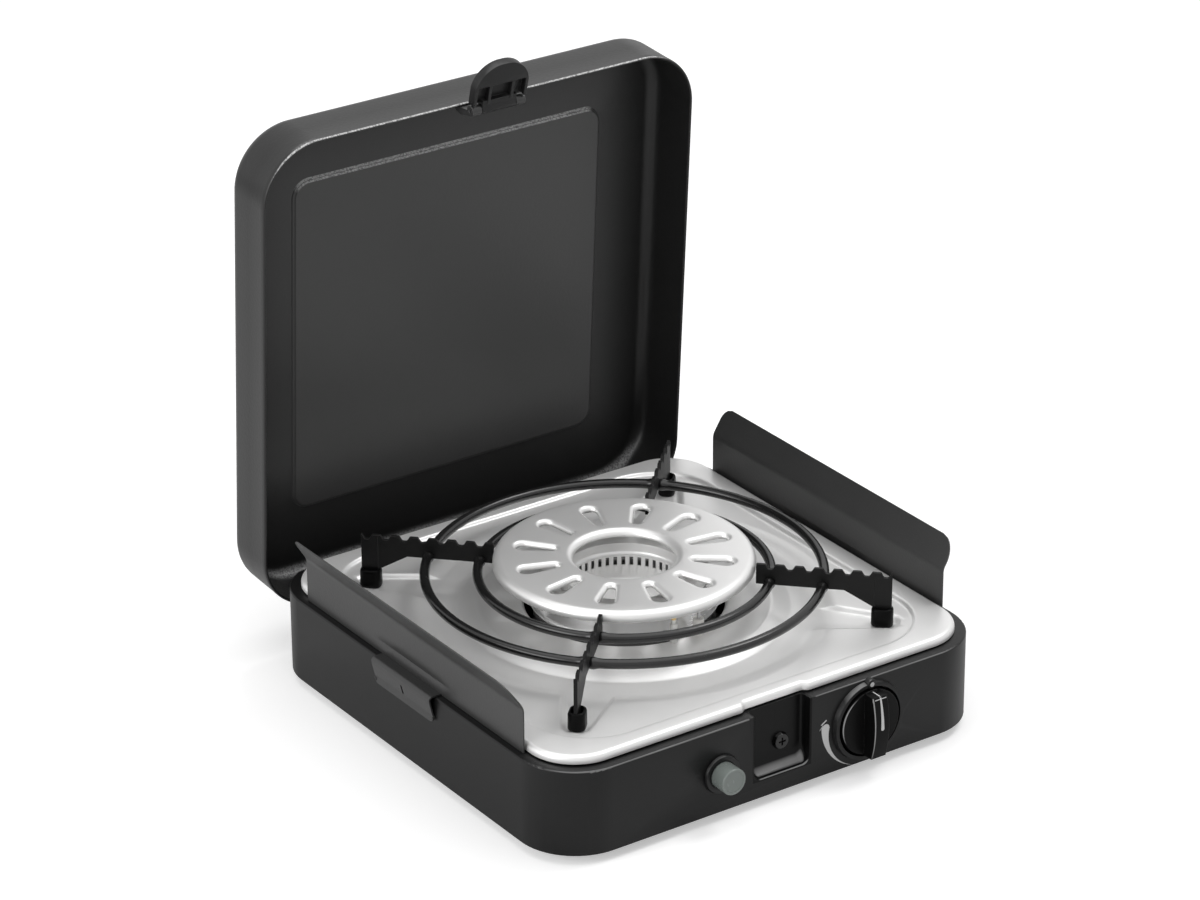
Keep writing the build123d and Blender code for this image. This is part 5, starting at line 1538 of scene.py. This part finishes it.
# ------------------------------------------------------------------ controls
@dataclass
class Controls:
    """The knob, the igniter button and the printed signs round them."""

    knob_x: float = 62.2
    knob_z: float = 33.3
    grip_half: float = 20.1
    grip_front: float = 15.16
    crown_rise: float = 3.0
    proud: float = 0.06
    paint: float = 0.12
    line_half: float = 1.15
    tick_half: float = 4.1
    dot: tuple[float, float] = (62.9, 57.4)
    dot_radius: float = 1.5
    pad: float = 3.7
    arc_outer: tuple[float, float] = (62.1, 37.8)
    arc_outer_radius: float = 33.0
    arc_inner: tuple[float, float] = (64.7, 34.6)
    arc_inner_radius: float = 29.8
    arc_steps: int = 60

    def band(self, name: str, outer: Array, inner: Array, body: str) -> None:
        """A thin printed band.

        Args:
            name: The piece's name.
            outer: One row of points.
            inner: The other row.
            body: The body that it rides on.
        """
        grid = np.stack([outer, inner])
        Piece(name, body, Finish.PRINT).build(grid, quads(2, len(outer), wrap_columns=False))

    def on_wall(self, flat: Array, raised: float = 0.0) -> Array:
        """Points given as x and z, on the front wall's print or raised before it."""
        return np.column_stack([flat[:, 0], np.full(len(flat), FRONT_Y - raised - self.proud), flat[:, 1]])

    def front_print(self, name: str, outline: Array, raised: float = 0.0) -> None:
        """A printed patch on the front wall.

        Args:
            name: The piece's name.
            outline: Its outline as x and z.
            raised: How far it stands before the wall.
        """
        points = self.on_wall(outline, raised)
        points = np.concatenate([points, points.mean(0)[None]])
        Piece(name, "casing", Finish.PRINT).build(points, fan(0, len(outline), len(outline)))

    def flame_arc(self) -> None:
        """The tapered arc: the crescent between two circles whose centres differ, with a round end."""
        turn = np.radians(np.linspace(182, 254, self.arc_steps))
        outer = self.arc_outer + self.arc_outer_radius * np.column_stack([np.cos(turn), np.sin(turn)])
        away = outer - self.arc_inner
        inner = self.arc_inner + away / np.linalg.norm(away, axis=1)[:, None] * self.arc_inner_radius
        share = np.linspace(0, 1, self.arc_steps)[:, None] ** 0.9
        inner = outer + (inner - outer) * np.clip(1.0 - share, 0.04, 1.0) ** 0.8
        middle, size = (outer[0] + inner[0]) / 2, np.linalg.norm(outer[0] - inner[0]) / 2
        cap = np.radians(np.linspace(0, 180, 12))[1:-1, None]
        tip = middle + size * np.hstack([np.cos(cap), np.sin(cap)])
        self.front_print("flame_size_end", np.concatenate([inner[:1], tip, outer[:1]]))
        self.band("flame_size_arc", self.on_wall(outer), self.on_wall(inner), "casing")

    def spark_sign(self) -> None:
        """The small zigzag above the arc, as a stroke that narrows to its point."""
        path = np.array([(32.7, 41.9), (28.9, 39.5), (30.3, 38.9), (27.5, 36.1)])
        width = np.array([0.45, 0.5, 0.45, 0.05])[:, None]
        run = np.gradient(path, axis=0)
        run /= np.linalg.norm(run, axis=1)[:, None]
        side = np.column_stack([-run[:, 1], run[:, 0]]) * width
        self.band("spark_sign", self.on_wall(path - side), self.on_wall(path + side), "casing")

    def crown(self, z: Array) -> Array:
        """Depth of the paint on the grip's crowned front: an arc crown_rise deep over the grip.

        Args:
            z: Heights.

        Returns:
            The y of the paint at each height.
        """
        radius = (self.crown_rise**2 + self.grip_half**2) / (2 * self.crown_rise)
        bulge = radius - np.sqrt(radius**2 - (z - self.knob_z) ** 2)
        return FRONT_Y - self.grip_front - self.paint + bulge

    def pointer(self) -> None:
        """The knob's white line: thin over the grip's end, wider down its front, with a cross stroke."""
        top, full = self.knob_z + self.grip_half, self.line_half
        z = np.linspace(top - 0.8, self.knob_z + 0.2, 24)
        cap = np.linspace(0, 1, 8)[1:] * math.pi / 2
        z = np.concatenate([z, z[-1] - full * np.sin(cap)])
        half = np.concatenate([[0.35, 0.4, 0.5, 0.52], np.linspace(0.55, full, 24), full * np.cos(cap)])
        y = np.concatenate([FRONT_Y - np.array([5.1, 7.8, 11.2, 12.0]), self.crown(z)])
        z = np.concatenate([top + np.array([0.1, 0.1, 0.1, -0.12]), z])
        left, right = (np.column_stack([self.knob_x + side * half, y, z]) for side in (-1, 1))
        self.band("pointer_line", left, right, "knob")
        x = self.knob_x + np.linspace(-self.tick_half, self.tick_half, 5)
        rows = [np.column_stack([x, self.crown(z), z]) for z in np.full((5, 2), (top - 1.6, top - 1.1)).T]
        self.band("pointer_tick", *rows, "knob")

    def grip(self) -> None:
        """The knob, whose grip's front is set back by 0.14 mm so that the paint stays in the frame."""
        mesh = Piece("knob_shell", "knob", Finish.KNOB, ("knob",)).copy_node(0.3).data
        places = np.empty(len(mesh.vertices) * 3)
        mesh.vertices.foreach_get("co", places)
        y = places[1::3]
        y[y < (FRONT_Y - 12.0) * MM] += 0.14 * MM
        mesh.vertices.foreach_set("co", places)

    def off_sign(self) -> None:
        """The off dot on its small pad."""
        turn = np.linspace(0, 2 * math.pi, 28, endpoint=False)
        circle = np.column_stack([np.cos(turn), np.sin(turn)])
        steps = ((3.3, -0.2), (3.2, 3.0), (3.0, 3.5), (2.6, self.pad))
        rings = [self.on_wall(self.dot + radius * circle, rise - self.proud) for radius, rise in steps]
        Piece("off_pad", "casing", Finish.CASING).build(*loft(rings, cap_end=True))
        self.front_print("off_dot", self.dot + self.dot_radius * circle, self.pad)

    def build(self) -> None:
        """Builds the controls."""
        self.grip()
        Piece("button_cap", "igniter_button", Finish.BUTTON, ("igniter_button",)).copy_node(0.25)
        self.off_sign()
        self.flame_arc()
        self.spark_sign()
        self.pointer()


# ------------------------------------------------------------------ studio
@dataclass
class Studio:
    """The pale floor, the soft light and the camera."""

    azimuth: float = -34.6575
    elevation: float = 25.3618
    roll: float = -0.33
    distance: float = 2851.5
    target: tuple[float, float, float] = (50.087, 82.519, 111.833)
    focal_px: float = 4645.63
    frame_px: float = 1200.0
    sensor: float = 36.0
    floor_half: float = 9000.0
    floor_height: float = -0.3
    floor_level: float = 0.84
    floor_glow: float = 0.42
    world_light: float = 0.42
    world_glossy: float = 0.9
    lamp_target: tuple[float, float, float] = (0.0, 0.02, 0.1)

    def camera(self) -> None:
        """Places the camera from its bearing, height angle, distance and roll."""
        a, e, roll = (math.radians(v) for v in (self.azimuth, self.elevation, self.roll))
        back = Vector((math.sin(a) * math.cos(e), -math.cos(a) * math.cos(e), math.sin(e)))
        right = (-back).cross(Vector((0, 0, 1))).normalized()
        up = right.cross(-back)
        c, s = math.cos(roll), math.sin(roll)
        right, up = c * right + s * up, -s * right + c * up
        data = bpy.data.cameras.new("camera")
        data.sensor_width = self.sensor
        data.lens = self.focal_px * data.sensor_width / self.frame_px
        data.clip_start, data.clip_end = 0.05, 60.0
        camera = bpy.data.objects.new("camera", data)
        turned = Matrix((right, up, back)).transposed().to_4x4()
        camera.matrix_world = Matrix.Translation((Vector(self.target) + back * self.distance) * MM) @ turned
        bpy.context.scene.collection.objects.link(camera)
        bpy.context.scene.camera = camera

    def floor(self) -> None:
        """A wide pale floor that is white to the camera and in reflections and keeps the shadow."""
        x, y = np.meshgrid(*[np.linspace(-self.floor_half, self.floor_half, 3)] * 2)
        grid = np.stack([x, y, np.full_like(x, self.floor_height)], -1)
        mesh = bpy.data.meshes.new("studio_floor")
        mesh.from_pydata((grid.reshape(-1, 3) * MM).tolist(), [], quads(3, 3, wrap_columns=False).tolist())
        tree = Tree("studio floor")
        seen = tree.node("ShaderNodeLightPath", {}, out="Is Camera Ray")
        shader = tree.node("ShaderNodeBsdfDiffuse", {}, Color=grey(self.floor_level))
        glow = tree.node("ShaderNodeEmission", {}, Color=grey(1.0), Strength=seen * self.floor_glow)
        mesh.materials.append(tree.end(tree.node("ShaderNodeAddShader", {}, shader, glow)))
        floor = bpy.data.objects.new("studio_floor", mesh)
        bpy.context.scene.collection.objects.link(floor)

    def lamp(self, name: str, place: tuple[float, float, float], size: float, power: float) -> None:
        """A square soft lamp that points at the cooker.

        Args:
            name: The lamp's name.
            place: Where it stands, in metres.
            size: Its side in metres.
            power: Its power in watts.
        """
        data = bpy.data.lights.new(name, "AREA")
        data.shape = "RECTANGLE"
        data.size = data.size_y = size
        data.energy = power
        lamp = bpy.data.objects.new(name, data)
        lamp.location = place
        lamp.rotation_mode = "QUATERNION"
        lamp.rotation_quaternion = (Vector(self.lamp_target) - Vector(place)).to_track_quat("-Z", "Y")
        bpy.context.scene.collection.objects.link(lamp)

    def sky(self) -> None:
        """A world that is white to the camera, nearly white in reflections and dimmer as light."""
        tree = Tree("studio", world=True)
        shade = tree.node("ShaderNodeBackground", {}, Color=grey(1.0), Strength=self.world_light)
        for ray, strength in (("Is Glossy Ray", self.world_glossy), ("Is Camera Ray", 1.0)):
            share = tree.node("ShaderNodeLightPath", {}, out=ray)
            other = tree.node("ShaderNodeBackground", {}, Color=grey(1.0), Strength=strength)
            shade = tree.node("ShaderNodeMixShader", {}, share, shade, other)
        bpy.context.scene.world = tree.end(shade)

    def build(self) -> None:
        """Builds the studio."""
        self.camera()
        self.floor()
        self.sky()
        self.lamp("top_lamp", (0.1, 0.0, 2.2), 2.6, 20.0)
        self.lamp("glint_lamp", (1.23, -0.3, 2.05), 0.7, 11.0)
        self.lamp("key_lamp", (-2.0, -0.1, 0.9), 1.2, 19.0)
        bpy.context.scene.view_settings.view_transform = "Standard"


def main() -> None:
    """Builds the cooker in order."""
    logging.basicConfig(level=logging.INFO, format="%(message)s")
    Studio().build()
    for part in (Casing(), Hob(), Burner(), TurboPlate(), PanSupport(), Windshields(), Lid(), Controls()):
        part.build()
        log.info("built %s", type(part).__name__)


if __name__ == "__main__":
    main()
